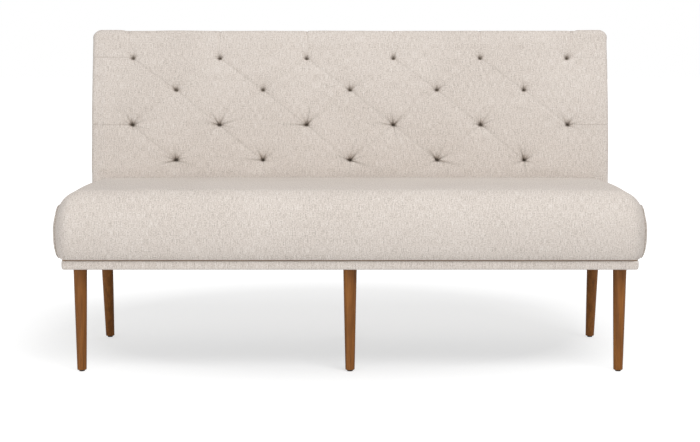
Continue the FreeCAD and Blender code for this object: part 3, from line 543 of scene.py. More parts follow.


# How deep the cloth is pulled in at each point: a pit and a shallow dish at every tuft, short folds fanning out
# of it, valleys along the diagonals, pleats over the top edge and creases out to the side edges. The second
# result is the share of light that the pits, folds and creases keep out, painted as shade into the colour.
def tuftPull(across, up):
    t = tufts
    draw = np.random.default_rng(11)
    pull = np.zeros(np.broadcast(across, up).shape)
    dark = np.zeros_like(pull)
    places = tuftPlaces()
    for x, z, row in places:
        dx = across - x
        dz = up - z
        distance = np.hypot(dx, dz)
        reach = t["pitReach"] * (1 + t["pitLean"] * dz / np.maximum(distance, 1e-9))
        pull += t["pitDepth"] * t["rowShare"][row] * np.exp(-(distance / reach) ** t["pitPower"])
        pull += t["dishDepth"] * bell(distance, t["dishReach"])
        dark += t["darkPit"] * bell(distance, reach * t["darkReach"])
        fan = np.arange(t["upperFolds"]) / (t["upperFolds"] - 1)
        upper = -t["upperPast"] + (math.pi + 2 * t["upperPast"]) * fan
        lower = -math.pi * (np.arange(t["lowerFolds"]) + 0.5) / t["lowerFolds"]
        for number, angle in enumerate(np.concatenate([upper, lower])):
            angle += draw.uniform(-t["foldTurn"], t["foldTurn"])
            length = draw.uniform(*t["foldLengths"]) * min(t["foldShare"][row], 1.0)
            depth = t["foldDepth"] * draw.uniform(*t["foldDepths"]) * t["foldShare"][row]
            depth *= t["lowerShare"] if number >= t["upperFolds"] else 1.0
            along = dx * math.cos(angle) + dz * math.sin(angle)
            aside = dz * math.cos(angle) - dx * math.sin(angle)
            width = t["foldWidth"] * (1 + np.maximum(along, 0) / t["foldWiden"])
            fade = fadeIn(along, t["foldStart"]) * np.exp(-np.maximum(along, 0) / length)
            fold = depth * bell(aside, width) * fade
            pull += fold
            dark += fold / t["darkFold"]
    for x, z, row in places:
        for otherX, otherZ, otherRow in places:
            if otherRow == row + 1 and abs(otherX - x) < t["pitch"]:
                ends = (x, z), (otherX, otherZ)
                share = 1.0 if otherX < x else t["risingShare"]
                pull += valley(across, up, *ends, t["valleyDepth"], t["valleyWidth"])
                crease = valley(across, up, *ends, t["creaseDepth"] * share, t["creaseWidth"])
                pull += crease
                dark += crease / t["darkCrease"]
    topEdge = backTop - backFoot
    last = (t["longRow"] - 1) / 2 * t["pitch"]
    for x, z, row in places:
        if row == len(t["heights"]) - 1:
            if abs(x) > last - t["pitch"] / 2:
                shift = math.copysign(t["outerPleatShift"], x)
            else:
                shift = draw.uniform(-t["pleatDrift"], t["pleatDrift"])
            rise = fadeIn(up - z, topEdge - z) ** t["pleatPower"]
            rise *= fadeIn(backReach() + topEdge - up, t["pleatFade"])
            pull += t["pleatDepth"] * rise * bell(across - x - shift, t["pleatWidth"])
    capped = fadeIn(np.abs(across) - last - t["capShift"], t["capEdge"])
    pull -= t["capSwell"] * capped * fadeIn(up - topEdge + t["capDrop"], t["capRun"])
    for side, row, share in t["sideCreases"]:
        height = t["heights"][row] - t["sink"] - backFoot
        ends = (side * last, height), (side * (railHalf + 0.03), height + 0.001)
        crease = valley(across, up, *ends, t["sideCreaseDepth"] * share, t["sideCreaseWidth"])
        pull += crease
        dark += crease / t["darkCrease"]
    return pull, 1 - np.exp(-dark)


# The back's padded cover: a closed lid of foam and cloth over the face, the sides and the top
def makeBackCushion():
    b = backShape
    places = tuftPlaces()
    near = (b["nearReach"], b["nearGain"])
    flatHalf = railHalf - b["corner"]
    flatHeight = backTop - b["corner"] - backFoot
    past = np.linspace(0, backReach(), int(backReach() / b["step"]) + 1)[1:]
    middle = closerSteps(-flatHalf, flatHalf, b["step"], sorted({place[0] for place in places}), *near)
    rows = closerSteps(0, flatHeight, b["step"], sorted({place[1] for place in places}), *near)
    columns = np.concatenate([-flatHalf - past[::-1], middle, flatHalf + past])
    rows = np.concatenate([rows, flatHeight + past])
    across, up = np.meshgrid(columns, rows)
    outer = onBack(across, up)
    normal = gridNormals(outer)
    reach = np.maximum(np.abs(across) - flatHalf, up - flatHeight)
    onFace = 1 - fadeIn(reach, b["corner"] + b["waveRun"])
    swell = slowWaves(across, up, *b["waves"]) * onFace
    swell += b["edgeRoll"] * bell(reach + b["rollInset"], b["rollWidth"])
    pull, dark = tuftPull(across, up)
    swell -= pull * fadeIn(backReach() - reach, b["calmRun"])
    pressed = fadeIn(b["pressedBelow"] - backFoot - up, b["pressedRun"])
    swell = np.where(pressed > 0, swell * (1 - pressed) - b["pressedBy"] * pressed, swell)
    outer += normal * swell[..., None]
    pickRow = np.unique(np.r_[0:len(rows):b["innerEvery"], len(rows) - 1])
    pickColumn = np.unique(np.r_[0:len(columns):b["innerEvery"], len(columns) - 1])
    innerAcross, innerUp = np.meshgrid(columns[pickColumn], rows[pickRow])
    inner = onBack(innerAcross, innerUp, inner=True)
    parts = [gridPart(outer, across, up, dark), gridPart(inner, innerAcross, innerUp),
             rimPart(outer, inner, pickRow, pickColumn)]
    cushion = makePiece("back_cushion", parts, finishes["fabric"])
    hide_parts("back_cover_front", "back_foam")
    bottoms = []
    for x, z, _ in places:
        row, column = np.argmin(np.abs(rows - z)), np.argmin(np.abs(columns - x))
        bottoms.append((outer[row, column], -normal[row, column]))
    makeStitches(bottoms)


# Indices round the edge of a grid, once round from its first corner
def gridEdge(rows, columns):
    grid = np.arange(rows * columns).reshape(rows, columns)
    return np.concatenate([grid[0, :-1], grid[:-1, -1], grid[-1, :0:-1], grid[:0:-1, 0]])


# Joins the edge of a fine grid to that of a coarser one picked from it, one face for each coarse step
def rimPart(fine, coarse, pickRow, pickColumn):
    fineEdge = gridEdge(*fine.shape[:2])
    coarseEdge = gridEdge(*coarse.shape[:2])
    place = {index: i for i, index in enumerate(fineEdge.tolist())}
    fineOf = (pickRow[:, None] * fine.shape[1] + pickColumn[None, :]).ravel()
    stops = [place[fineOf[index]] for index in coarseEdge.tolist()]
    points = np.concatenate([fine.reshape(-1, 3)[fineEdge], coarse.reshape(-1, 3)[coarseEdge]])
    fineCount, coarseCount = len(fineEdge), len(coarseEdge)
    faces = []
    for i in range(coarseCount):
        start, end = stops[i], stops[(i + 1) % coarseCount]
        end = end if end > start else end + fineCount
        along = [k % fineCount for k in range(start, end + 1)]
        faces.append(along + [fineCount + (i + 1) % coarseCount, fineCount + i])
    return points, faces, points[:, [0, 2]], np.zeros(len(points))


stitch = {
    "halfLength": 0.0030,
    "radius": 0.0009,
    "endPower": 0.6,
    "rise": 0.0004,
    "around": 12,
    "along": 16,
}


# A loop of twine across the bottom of each pit: a bar with round ends, half buried in the cloth
def makeStitches(bottoms):
    s = stitch
    share = np.linspace(0, math.pi, s["along"])[:, None]
    turn = np.linspace(0, 2 * math.pi, s["around"] + 1)[None, :]
    x = -s["halfLength"] * np.cos(share) + 0 * turn
    ring = s["radius"] * np.sin(share) ** s["endPower"]
    parts = []
    for centre, inward in bottoms:
        upright = np.array([0.0, -inward[2], inward[1]])
        offset = ring[..., None] * (np.cos(turn)[..., None] * upright + np.sin(turn)[..., None] * inward)
        bend = -s["rise"] * np.sin(share)[..., None] * inward
        points = centre + np.stack([x, 0 * x, 0 * x], axis=-1) + offset + bend
        parts.append(gridPart(points, x, ring * turn))
    piece = makePiece("tuft_loops", parts, finishes["twine"])
    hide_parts("tuft_stitches")


makeBackCushion()
print("back cushion and tuft loops made")


# The seat cushion's form

seatShape = {
    "overhang": 0.022,
    "bellyHeight": 0.378,
    "topHeight": 0.4895,
    "endRun": 0.090,
    "endDrop": 0.003,
    "lowEndRun": 0.036,
    "cornerRun": 0.055,
    "cornerDepth": 0.120,
    "rearCornerDepth": 0.024,
    "frontRun": 0.066,
    "tuck": 0.020,
    "crown": 0.0035,
    "rearDrop": 0.007,
    "rearRun": 0.016,
    "rearRoll": 0.020,
    "footGap": 0.0028,
    "rearGap": 0.0003,
    "hiddenGap": 0.0003,  # over the insulator and the frame
    "underMiddle": 0.30,
    "underSteps": (0.030, 0.020, 0.010),
    "frameFace": 0.0024,
    "steadyTo": 0.7600,
    "step": 0.006,
    "nearReach": 0.10,
    "nearGain": 1.0,
    "ringPower": 1.35,
    "ringsToSeam": 18,
    "ringsPastSeam": 28,
    "lastHeight": 0.010,
    "panelThickness": 0.0020,
    "panelFlat": (0.53, 0.15),
    "waves": (0.0007, 0.10, 0.34, 10, 5),
    "lowFade": 0.03,
    "rearFade": 0.05,
    "calmRun": 0.10,  # the waves fade over this length before the seam
}

sectionLines = {"low": 28, "front": 46, "top": 92, "rear": 10, "wall": 10, "under": 5}

seam = {
    "frontDepth": 0.018,
    "topHeight": 0.441,
    "corner": 0.055,
    "grooveDepth": 0.0018,
    "grooveWidth": 0.0014,
    "puff": 0.0004,
    "puffReach": 0.006,
    "heelFade": 0.012,
    "gathers": (0.00018, 0.009, 0.030, 8),
    "gatherReach": 0.010,
    # painted shade along the seam's groove, darkening the cloth's colour
    "dark": 0.75,
    "darkWidth": 0.0016,
}


# First and last line of each stretch of the section
def seatStages():
    ends = np.cumsum(list(sectionLines.values())).tolist()
    return {key: (end - sectionLines[key], end) for key, end in zip(sectionLines, ends)}


# Reach at which the section's height above the belly has shrunk to a share, the inverse of the end's round-off
def reachAt(share):
    s = seatShape
    return seatHalf - s["endRun"] * (1 - np.sqrt(1 - np.minimum(share, 1) ** 2))


# Depth and height of the seat's section lines at a reach. The lines start at the heel, climb the front as quarter
# ellipses, cross the top over its crown, roll down at the rear and come back under the cushion, over the frame.
def seatLines(reach):
    s = seatShape
    rise = roundOff(reach - seatHalf + s["endRun"], s["endRun"])
    fall = roundOff(reach - seatHalf + s["lowEndRun"], s["lowEndRun"])
    frontShare = roundOff(reach - seatHalf + s["cornerRun"], s["cornerRun"])
    rearShare = roundOff(reach - railHalf, seatHalf - railHalf)
    belly = s["bellyHeight"]
    top = belly + (s["topHeight"] - s["endDrop"] * (reach / seatHalf) ** 4 - belly) * rise
    foot = belly - (belly - railTop - s["footGap"]) * fall
    front = -s["overhang"] + s["cornerDepth"] * (1 - frontShare)
    rearShift = s["rearGap"] + s["rearCornerDepth"] * (1 - rearShare)
    depth = np.zeros_like(reach)
    height = np.zeros_like(reach)
    stages = seatStages()

    # The columns of a stretch and its lines' shares of the way, the last one 1
    def stretch(key):
        count = sectionLines[key]
        return slice(*stages[key]), (np.arange(count) + 1) / count

    at = slice(*stages["low"])
    angle = math.pi / 2 * (1 - np.linspace(0, 1, sectionLines["low"]))
    depth[:, at] = front[:, at] + s["tuck"] * fall[:, at] * (1 - np.cos(angle))
    height[:, at] = belly - (belly - foot[:, at]) * np.sin(angle)

    at, along = stretch("front")
    angle = math.pi / 2 * along
    depth[:, at] = front[:, at] + s["frontRun"] * (1 - np.cos(angle))
    height[:, at] = belly + (top[:, at] - belly) * np.sin(angle)

    at, along = stretch("top")
    rearTop = faceDepth(top[:, at]) - rearShift[:, at] - s["rearRun"]
    start = front[:, at] + s["frontRun"]
    depth[:, at] = start + (rearTop - start) * along
    bulge = s["crown"] * (1 - np.cos(2 * math.pi * along)) / 2 - s["rearDrop"] * along ** 2 * (3 - 2 * along)
    height[:, at] = top[:, at] + bulge * rise[:, at]

    at, along = stretch("rear")
    angle = math.pi / 2 * along
    roll = s["rearRoll"] * rise[:, at] * (1 - np.cos(angle))
    height[:, at] = top[:, at] - s["rearDrop"] * rise[:, at] - roll
    depth[:, at] = faceDepth(height[:, at]) - rearShift[:, at] - s["rearRun"] * (1 - np.sin(angle))

    aside = 0.0004  # a station at an edge counts as inside it
    inRoof = reach <= insulatorHigh.x + aside
    inFrame = reach <= frameHalf + aside
    overFrame = np.where(inFrame, frameTop + s["hiddenGap"], foot)
    under = np.where(inRoof, insulatorHigh.z + s["hiddenGap"], overFrame)
    at, along = stretch("wall")
    wallTop = top[:, at] - (s["rearDrop"] + s["rearRoll"]) * rise[:, at]
    height[:, at] = wallTop + (under[:, at] - wallTop) * along
    depth[:, at] = faceDepth(height[:, at]) - rearShift[:, at]

    # Under the cushion: the roof over the insulator, the step over the rail, the wall in front of the rail
    at = slice(*stages["under"])
    roofFace = insulatorLow.y - railFront - s["hiddenGap"]
    hollowDepth = np.array([s["underMiddle"], roofFace, roofFace, s["frameFace"], s["frameFace"]])
    plainDepth = np.array([s["underMiddle"], *(roofFace + step for step in s["underSteps"]), s["frameFace"]])
    inset = np.clip(front[:, at] + s["overhang"], 0, 1)
    depth[:, at] = np.where(inFrame[:, at], hollowDepth, plainDepth + inset)
    height[:, at] = np.concatenate([under[:, at][:, :2], overFrame[:, at][:, 2:4], foot[:, at][:, 4:]], axis=1)
    return depth, height


# How far a point of the side view lies outside the end panel's outline: upright, round a corner, then level
def outsideSeam(depth, height):
    a = seam["frontDepth"] + seam["corner"] - depth
    b = height - seam["topHeight"] + seam["corner"]
    return np.hypot(np.maximum(a, 0), np.maximum(b, 0)) + np.minimum(np.maximum(a, b), 0) - seam["corner"]


# The share of the end at which each line meets the seam. On the hidden lines it runs evenly back to the heel's.
def seamShares(firstHeight):
    stages = seatStages()
    count = stages["under"][1]
    shares = np.linspace(0, 1, 500)
    heights = firstHeight + (seatShape["lastHeight"] - firstHeight) * shares
    reach = np.repeat(reachAt(heights)[:, None], count, axis=1)
    outside = outsideSeam(*seatLines(reach))
    crossing = shares[np.argmax(outside < 0, axis=0)]
    heel = crossing[0]
    rearStart = stages["rear"][0]
    last = crossing[rearStart - 1]
    hidden = np.arange(rearStart, count)
    crossing[hidden] = last + (heel - last) * np.minimum((hidden - rearStart) / (stages["wall"][1] - rearStart), 1)
    return crossing


# Reaches of the stations on one side: steady ones, rings up to the seam and rings past it. One steady station lies
# just past the insulator and one at the frame's end.
def seatStations():
    s = seatShape
    steady = closerSteps(0, insulatorHigh.x, s["step"], (insulatorHigh.x,), s["nearReach"], s["nearGain"])
    steady = np.concatenate([steady, [insulatorHigh.x + 0.0006, frameHalf + 0.0001, s["steadyTo"]]])
    steady = np.repeat(steady[:, None], sum(sectionLines.values()), axis=1)
    firstHeight = roundOff(s["steadyTo"] - seatHalf + s["endRun"], s["endRun"])
    crossing = seamShares(firstHeight)
    before = np.linspace(0, 1, s["ringsToSeam"] + 1)[1:, None]
    after = np.linspace(0, 1, s["ringsPastSeam"] + 1)[1:, None]
    toSeam = crossing * (1 - (1 - before) ** s["ringPower"])
    pastSeam = crossing + (1 - crossing) * after ** s["ringPower"]
    shares = np.concatenate([toSeam, pastSeam])
    ends = reachAt(firstHeight + (s["lastHeight"] - firstHeight) * shares)
    return np.concatenate([steady, ends]), len(steady) + s["ringsToSeam"] - 1


# The seat's half surface on one side: the lines, with slow waves, a groove along the seam, a puff and small
# gathers beside it, and the share of painted shade along the seam's groove
def seatHalfSurface(side):
    s = seatShape
    reach, seamRow = seatStations()
    depth, height = seatLines(reach)
    points = np.stack([side * reach, railFront + depth, height], axis=-1)
    normal = gridNormals(points) * side
    length = runLength(points, 0)
    fromSeam = np.abs(length - length[seamRow])
    lengthUp = runLength(points[:1], 1)[0]
    swell = -seam["grooveDepth"] * bell(fromSeam, seam["grooveWidth"])
    swell += seam["puff"] * fromSeam / seam["puffReach"] * np.exp(1 - fromSeam / seam["puffReach"])
    swell *= fadeIn(lengthUp, seam["heelFade"])
    rearStart = seatStages()["rear"][0]
    shown = (np.arange(reach.shape[1]) < rearStart).astype(float)
    waves = slowWaves(side * length, np.broadcast_to(lengthUp, length.shape), *s["waves"])
    fade = fadeIn(lengthUp, s["lowFade"]) * fadeIn(lengthUp[rearStart] - lengthUp, s["rearFade"])
    calm = fadeIn(length[seamRow] - length, s["calmRun"])
    gathers = slowWaves(lengthUp[None, :] + 0 * length, 0 * length, *seam["gathers"], 8 + side)
    swell += waves * fade * calm + gathers * np.exp(-fromSeam / seam["gatherReach"])
    points = points + normal * (swell * shown)[..., None]
    # painted shade along the seam's groove, on the lines that show
    dark = seam["dark"] * bell(fromSeam, seam["darkWidth"]) * shown
    return points, normal, length, lengthUp, seamRow, dark


# Repeats the first line after the last one, so that a section closes
def closeLoop(grid):
    return np.concatenate([grid, grid[:, :1]], axis=1)


# The seat's cushion and its two end panels. The cushion goes on behind each panel, in a recess.
def makeSeat():
    parts = []
    for side in (-1, 1):
        points, normal, length, lengthUp, seamRow, dark = seatHalfSurface(side)
        cover = closeLoop(points[:seamRow + 1])
        v = np.append(lengthUp, lengthUp[-1] + 0.01)
        u = side * closeLoop(length[:seamRow + 1])
        parts.append(gridPart(cover, u, v, closeLoop(dark[:seamRow + 1])))
        recess = points - normal * (seatShape["panelThickness"] + 0.0003)
        inner = closeLoop(np.concatenate([points[seamRow:seamRow + 1], recess[seamRow + 1::3], recess[-1:]]))
        parts.append(gridPart(inner, inner[..., 1], inner[..., 2]))
        parts.append(capPart(inner[-1, :-1]))
        makeEndPanel("left" if side < 0 else "right", points[seamRow:], normal[seamRow:], dark[seamRow:])
    cushion = makePiece("seat_cushion", parts, finishes["fabric"])
    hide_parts("seat_cover", "seat_foam")


# One end panel: the surface past the seam, a sheet's thickness deep and closed along the seam
def makeEndPanel(name, points, normal, dark):
    outer = closeLoop(points)
    thin = closeLoop(points - normal * seatShape["panelThickness"])
    rim = np.stack([outer[0], thin[0]])
    parts = [gridPart(outer, outer[..., 1], outer[..., 2], closeLoop(dark)),
             gridPart(thin, thin[..., 1], thin[..., 2]),
             gridPart(rim, rim[..., 1], rim[..., 2]), capPart(outer[-1, :-1]), capPart(thin[-1, :-1])]
    panel = makePiece("seat_end_" + name, parts, finishes["fabric"])
    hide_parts("seat_end_panel_" + name)


makeSeat()
print("seat cushion and end panels made")


# The band round the rail

band = {
    "thickness": 0.0022,
    "corner": 0.010,
    "topEdge": 0.0022,
    "bottomEdge": 0.0045,
    "turnIn": 0.010,
    "innerDrop": 0.0004,
    "swell": 0.0006,
    "ripple": (0.00025, 0.03, 0.12, 8, 21),
    "step": 0.006,
    "flatWidth": 0.038,
}


# A profile carried round the rail's rounded outline: over the top edge, down the face, under and back up inside.
# The profile's first number is how far a point lies in from the face, the second its height.
def makeBand():
    s = band
    low, high = railLow.z, railTop
    quarter = np.linspace(0, math.pi / 2, 7)
    down = np.linspace(0, 1, 9)[1:-1]
    topTurn = np.stack([s["topEdge"] * (1 - np.sin(quarter)), high - s["topEdge"] * (1 - np.cos(quarter))], 1)
    faceDrop = low + s["bottomEdge"] - high + s["topEdge"]
    face = np.stack([-s["swell"] * np.sin(math.pi * down), high - s["topEdge"] + faceDrop * down], 1)
    lowTurn = np.stack([s["bottomEdge"] * (1 - np.cos(quarter)), low + s["bottomEdge"] * (1 - np.sin(quarter))], 1)
    t = s["thickness"]
    inside = np.array([[s["turnIn"], low], [s["turnIn"], low + t], [s["bottomEdge"], low + t],
                       [t, low + s["bottomEdge"]], [t, high - s["innerDrop"]]])
    profile = np.concatenate([topTurn, face, lowTurn, inside, topTurn[:1]])
    halfY, r = railDepth / 2, s["corner"]
    corners = np.array([(1, 1), (-1, 1), (-1, -1), (1, -1)]) * (railHalf - r, halfY - r)
    path, outward = [], []
    for i, corner in enumerate(corners):
        angle = math.pi / 2 * i + quarter
        direction = np.stack([np.cos(angle), np.sin(angle)], 1)
        turned = corner + r * direction
        straight = corners[(i + 1) % 4] + r * direction[-1] - turned[-1]
        share = np.linspace(0, 1, int(np.linalg.norm(straight) / s["step"]) + 1)[1:-1, None]
        path += [turned, turned[-1] + straight * share]
        outward += [direction, np.repeat(direction[-1:], len(share), axis=0)]
    path = np.concatenate(path + [path[0][:1]])
    outward = np.concatenate(outward + [outward[0][:1]])
    along = runLength(path, 0)
    ripple = slowWaves(along[:, None], profile[None, :, 1], *s["ripple"])
    ripple[-1] = ripple[0]
    shift = -profile[None, :, 0] + ripple * (profile[None, :, 0] < t)
    plan = path[:, None, :] + outward[:, None, :] * shift[..., None]
    height = np.broadcast_to(profile[:, 1], shift.shape)
    points = np.stack([plan[..., 0], railFront + halfY + plan[..., 1], height], axis=-1)
    part = gridPart(points, along[:, None], -runLength(profile, 0)[None, :])
    piece = makePiece("rail_band", [part], finishes["fabric"])
    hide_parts("rail_border")


makeBand()
print("rail band made")


# The flat cloths

rearPanel = {
    "edge": 0.0065,
    "corner": 0.022,
    "gap": 0.0002,
    "proud": 0.0030,
    "thin": 0.0010,
    "edgeRun": 0.012,
    "step": 0.010,
    "nearGain": 1.5,
    "waves": (0.0006, 0.12, 0.4, 8, 31),
    "waveRun": 0.06,
    "flat": (1.53, 0.64),
}


# A panel on the rear: rows and columns run to a rounded outline, and the cloth swells a little off the face
def makeRearPanel():
    s = rearPanel
    half = railHalf - s["edge"]
    low, high = backFoot, backTop - s["edge"]
    near = (s["corner"], s["nearGain"])
    x, z = np.meshgrid(closerSteps(-half, half, s["step"], (-half, half), *near),
                       closerSteps(low, high, s["step"], (high, low), *near))
    overX = np.maximum(np.abs(x) - half + s["corner"], 0)
    overZ = np.maximum(z - high + s["corner"], 0)
    inner = np.maximum(overX, overZ) / np.maximum(np.hypot(overX, overZ), 1e-9)
    shrink = np.where((overX > 0) & (overZ > 0), inner, 1.0)
    x = np.sign(x) * (np.minimum(np.abs(x), half - s["corner"]) + overX * shrink)
    z = np.minimum(z, high - s["corner"]) + overZ * shrink
    toEdge = np.minimum(np.minimum(half - np.abs(x), high - z), z - low)
    toEdge = np.maximum(np.minimum(toEdge, s["corner"] - np.hypot(overX, overZ) * shrink), 0)
    full = roundOn(toEdge, s["edgeRun"])
    waves = slowWaves(x, z, *s["waves"]) * fadeIn(toEdge, s["waveRun"])
    face = railFront + rearDepth(z) + s["gap"]
    parts = [gridPart(np.stack([x, face + depth, z], axis=-1), x, z)
             for depth in (s["proud"] * full + waves, -s["thin"] * full)]
    piece = makePiece("rear_panel", parts, finishes["fabric"])
    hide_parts("back_cover_rear")


legNames = [row + "_" + place for row in ("front", "rear") for place in ("left", "centre", "right")]

dust = {
    "step": 0.016,
    "sag": 0.0015,
    "waves": (0.0003, 0.05, 0.2, 8, 41),
    "thickness": 0.0006,
    "windowHalf": 0.0315,
    "windowClear": 0.004,
    "legTopHalf": {"front": 0.0181, "rear": 0.0184},
}


# Steps from low to high that meet both edges of the window at each centre
def windowSteps(low, high, centres):
    s = dust
    steps = np.concatenate([np.arange(low, high, s["step"]), [high]])
    for centre in centres:
        steps = steps[np.abs(np.abs(steps - centre) - s["windowHalf"]) >= s["windowClear"]]
    edges = [centre + side * s["windowHalf"] for centre in centres for side in (-1, 1)]
    steps = np.unique(np.round(np.concatenate([steps, edges]), 5))
    return steps[(steps >= low) & (steps <= high)]


# A cloth under the frame with a window for each leg plate. It sags as the product of two half sines.
def makeDustCover():
    s = dust
    low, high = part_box("dust_cover")
    legY = {row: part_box("leg_" + row + "_left")[0].y + half for row, half in s["legTopHalf"].items()}
    windows = []
    for name in legNames:
        legLow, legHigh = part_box("leg_" + name)
        windows.append(((legLow.x + legHigh.x) / 2, legY[name.split("_")[0]]))
    columns = windowSteps(low.x, high.x, [window[0] for window in windows])
    rows = windowSteps(low.y, high.y, [window[1] for window in windows])
    x, y = np.meshgrid(columns, rows)
    hang = np.sin(math.pi * (x - low.x) / (high.x - low.x)) * np.sin(math.pi * (y - low.y) / (high.y - low.y))
    z = low.z - s["sag"] * hang + slowWaves(x, y, *s["waves"]) * hang
    quads = gridQuads(*x.shape)
    middle = np.stack([x, y], -1).reshape(-1, 2)[quads].mean(axis=1)
    covered = np.ones(len(quads), bool)
    for window in windows:
        covered &= np.abs(middle - window).max(axis=1) > s["windowHalf"]
    points = np.stack([x, y, z], axis=-1).reshape(-1, 3)
    used, numbered = np.unique(quads[covered][:, ::-1], return_inverse=True)
    part = (points[used], numbered.reshape(-1, 4).tolist(), points[used][:, :2], np.zeros(len(used)))
    piece = makePiece("dust_cloth", [part], finishes["dust_cloth"], closed=False)
    piece.modifiers.new("thickness", "SOLIDIFY").thickness = s["thickness"]
    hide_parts("dust_cover")


felt = {
    "columns": 190,
    "rows": 60,
    "edgeRun": 0.003,
    "fill": 0.9,
    "dip": 0.1,
    "dipsPerMetre": (260, 230),
}


# The felt over the springs: a thin pad with rounded edges that dips a little between them, as two sines multiplied
def makeFelt():
    s = felt
    low, high = insulatorLow, insulatorHigh
    x, y = np.meshgrid(np.linspace(low.x, high.x, s["columns"]), np.linspace(low.y, high.y, s["rows"]))
    edge = np.minimum(np.minimum(x - low.x, high.x - x), np.minimum(y - low.y, high.y - y))
    thick = (high.z - low.z) / 2 * roundOn(edge, s["edgeRun"])
    middle = (low.z + high.z) / 2
    dips = np.sin(x * s["dipsPerMetre"][0]) * np.sin(y * s["dipsPerMetre"][1])
    levels = (middle + thick * (s["fill"] + s["dip"] * dips), middle - thick * s["fill"])
    parts = [gridPart(np.stack([x, y, level], axis=-1), x, y) for level in levels]
    piece = makePiece("spring_felt", parts, finishes["felt"])
    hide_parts("spring_insulator")


# Legs

leg = {
    "topRadius": 0.01815,
    "footRadius": 0.0125,
    "topEase": 0.0004,
    "chamfer": 0.0016,
    "wobble": 0.0025,
    "turns": 48,
    "steps": 60,
}


# A turned leg: its radius tapers evenly down a straight axis, level at both ends, with its foot's edge eased. A
# raked leg's rings are stretched along its lean, and a slight wobble keeps it from looking drawn.
def makeLeg(name):
    s = leg
    low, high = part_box("leg_" + name)
    raked = name.startswith("rear")
    lean = math.tan(math.radians(rakeOfRearLegs)) if raked else 0.0
    stretch = 1 / math.cos(math.radians(rakeOfRearLegs)) if raked else 1.0
    centreX = (low.x + high.x) / 2
    topY = low.y + s["topRadius"] * stretch
    drop = high.z - low.z
    quarter = np.linspace(0, math.pi / 2, 6)
    down = np.concatenate([[0.0, s["topEase"]], np.linspace(0.002, drop - 0.003, s["steps"]),
                           drop - s["chamfer"] * (1 - np.sin(quarter))])
    radius = s["topRadius"] + (s["footRadius"] - s["topRadius"]) * down / drop
    radius[-len(quarter):] -= s["chamfer"] * (1 - np.cos(quarter))
    radius[0] -= s["topEase"]
    angle = np.linspace(0, 2 * math.pi, s["turns"] + 1)
    wobble = 1 + s["wobble"] * np.cos(3 * angle + 7 * centreX)[None, :] * np.sin(9 * down / drop)[:, None]
    ring = radius[:, None] * wobble
    x = centreX + ring * np.cos(angle)
    y = topY + lean * down[:, None] + ring * stretch * np.sin(angle)
    z = np.repeat((high.z - down)[:, None], len(angle), axis=1)
    points = np.stack([x, y, z], axis=-1)
    points[:, -1] = points[:, 0]
    u = angle[None, :] * s["topRadius"]
    parts = [gridPart(points, u, -down[:, None]), capPart(points[0, :-1]), capPart(points[-1, :-1])]
    piece = makePiece("turned_leg_" + name, parts, finishes["rakedWalnut" if raked else "walnut"])
    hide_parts("leg_" + name)


for legName in legNames:
    makeLeg(legName)
print("legs made:", len(legNames))
makeRearPanel()
makeDustCover()
makeFelt()
print("rear panel, dust cover and felt made")


# Finishes of the frame's own pieces, which keep their meshes

alongPieces = ("seat_front_rail", "seat_rear_rail", "back_top_rail", "back_tack_rails", "tuft_board",
               "frame_dowels")
upPieces = ("back_post_left", "back_post_centre_left", "back_post_centre_right", "back_post_right")


# Each piece takes the finish that its slot is named for, and the frame's wood the one with its own grain
def finishFrame():
    for name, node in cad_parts.items():
        slotName = node.material_slots[0].material.name
        key = "fabric" if slotName == "border" else slotName
        if slotName == "frame_wood":
            key = "frameAlong" if name in alongPieces else "frameUp" if name in upPieces else "frameAcross"
        for place in node.material_slots:
            place.material = finishes[key]


finishFrame()
print("frame finished")


# The room: a pale floor, soft lamps and the photograph's camera

room = {
    "floorHalf": 40.0,
    "floorShade": 0.86,
    "floorRoughness": 0.9,
    "nearGlow": 0.50,
    "glowCentre": (-0.05, 0.45, 0.0),
    "glowFrom": 0.74,
    "glowRun": 0.70,
    "glowStrength": 1.23,
    "skyStrength": 0.46,
    "cameraPlace": (0.0, -4.660, 0.8644),
    "cameraDown": 6.026,
    "lens": 85.0,
    "sensor": 36.0,
}

lamps = {
    "key": {"place": (1.8, -3.6, 5.4), "aim": (0.0, 0.0, 0.45), "size": 3.4, "power": 203.0},
    "fill": {"place": (-2.2, -4.4, 0.9), "aim": (0.0, 0.0, 0.35), "size": 2.6, "power": 49.0},
}

white = (1.0, 1.0, 1.0, 1.0)


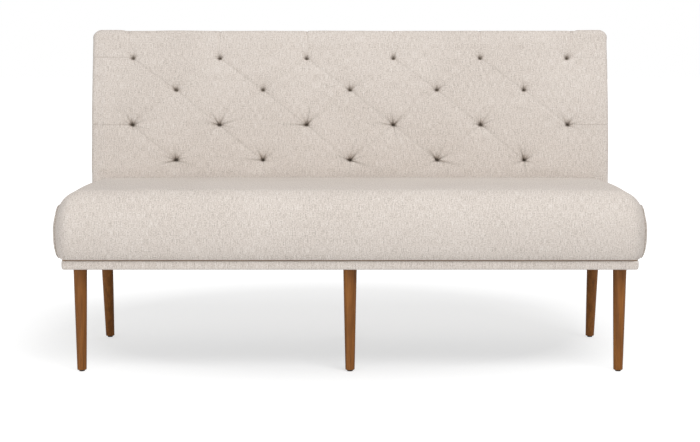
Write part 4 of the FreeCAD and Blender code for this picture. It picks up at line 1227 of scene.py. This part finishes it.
# A floor that takes the bench's shadow and turns to white further away. The glow's share is the near share, and it
# grows to one with the distance from the glow's centre. It shows to the camera only.
def makeFloor():
    size = room["floorHalf"]
    mesh = bpy.data.meshes.new("floor")
    mesh.from_pydata([(-size, -size, 0), (size, -size, 0), (size, size, 0), (-size, size, 0)], [], [(0, 1, 2, 3)])
    floor = addObject("floor", mesh)
    fixed = {"Roughness": room["floorRoughness"], "Base Color": (room["floorShade"],) * 3 + (1.0,)}
    material, tree, shader = startMaterial("paleFloor", fixed)
    glow = addNode(tree, "ShaderNodeEmission", {"Color": white, "Strength": room["glowStrength"]}).outputs[0]
    place = addNode(tree, "ShaderNodeTexCoord").outputs["Object"]
    apart = {0: place, 1: room["glowCentre"]}
    distance = addNode(tree, "ShaderNodeVectorMath", apart, operation="DISTANCE").outputs["Value"]
    growth = addMath(tree, "SUBTRACT", distance, room["glowFrom"])
    growth = addMath(tree, "DIVIDE", growth, room["glowRun"], clamp=True)
    share = addLift(tree, growth, room["nearGlow"])
    seen = addMath(tree, "MULTIPLY", addNode(tree, "ShaderNodeLightPath").outputs["Is Camera Ray"], share)
    mixed = addNode(tree, "ShaderNodeMixShader", {0: seen, 1: shader.outputs[0], 2: glow}).outputs[0]
    tree.links.new(mixed, tree.nodes["Material Output"].inputs["Surface"])
    mesh.materials.append(material)


# A sky that shows white to the camera, in metal and through glass, and lights the bench at its own strength
def makeSky():
    world = bpy.data.worlds.new("room")
    bpy.context.scene.world = world
    world.use_nodes = True
    tree = world.node_tree
    path = addNode(tree, "ShaderNodeLightPath").outputs
    seen = addMath(tree, "ADD", path["Is Camera Ray"], path["Is Glossy Ray"])
    seen = addMath(tree, "ADD", seen, path["Is Transmission Ray"], clamp=True)
    background = tree.nodes["Background"].inputs
    background["Color"].default_value = white
    tree.links.new(addLift(tree, seen, room["skyStrength"]), background["Strength"])


# Round area lamps, each turned to its aim
def makeLamps():
    for name, s in lamps.items():
        data = bpy.data.lights.new(name, "AREA")
        data.shape = "DISK"
        data.size = s["size"]
        data.energy = s["power"]
        lamp = addObject(name, data)
        place = Vector(s["place"])
        lamp.location = place
        lamp.rotation_euler = (Vector(s["aim"]) - place).to_track_quat("-Z", "Y").to_euler()


# The camera as fitted to the photograph, looking straight at the bench and a little down
def makeCamera():
    data = bpy.data.cameras.new("camera")
    data.lens = room["lens"]
    data.sensor_width = room["sensor"]
    camera = addObject("camera", data)
    camera.location = room["cameraPlace"]
    camera.rotation_euler = (math.radians(90 - room["cameraDown"]), 0, 0)
    bpy.context.scene.camera = camera


makeFloor()
makeSky()
makeLamps()
makeCamera()
bpy.context.scene.view_settings.view_transform = "Standard"
print("room, lamps and camera made")
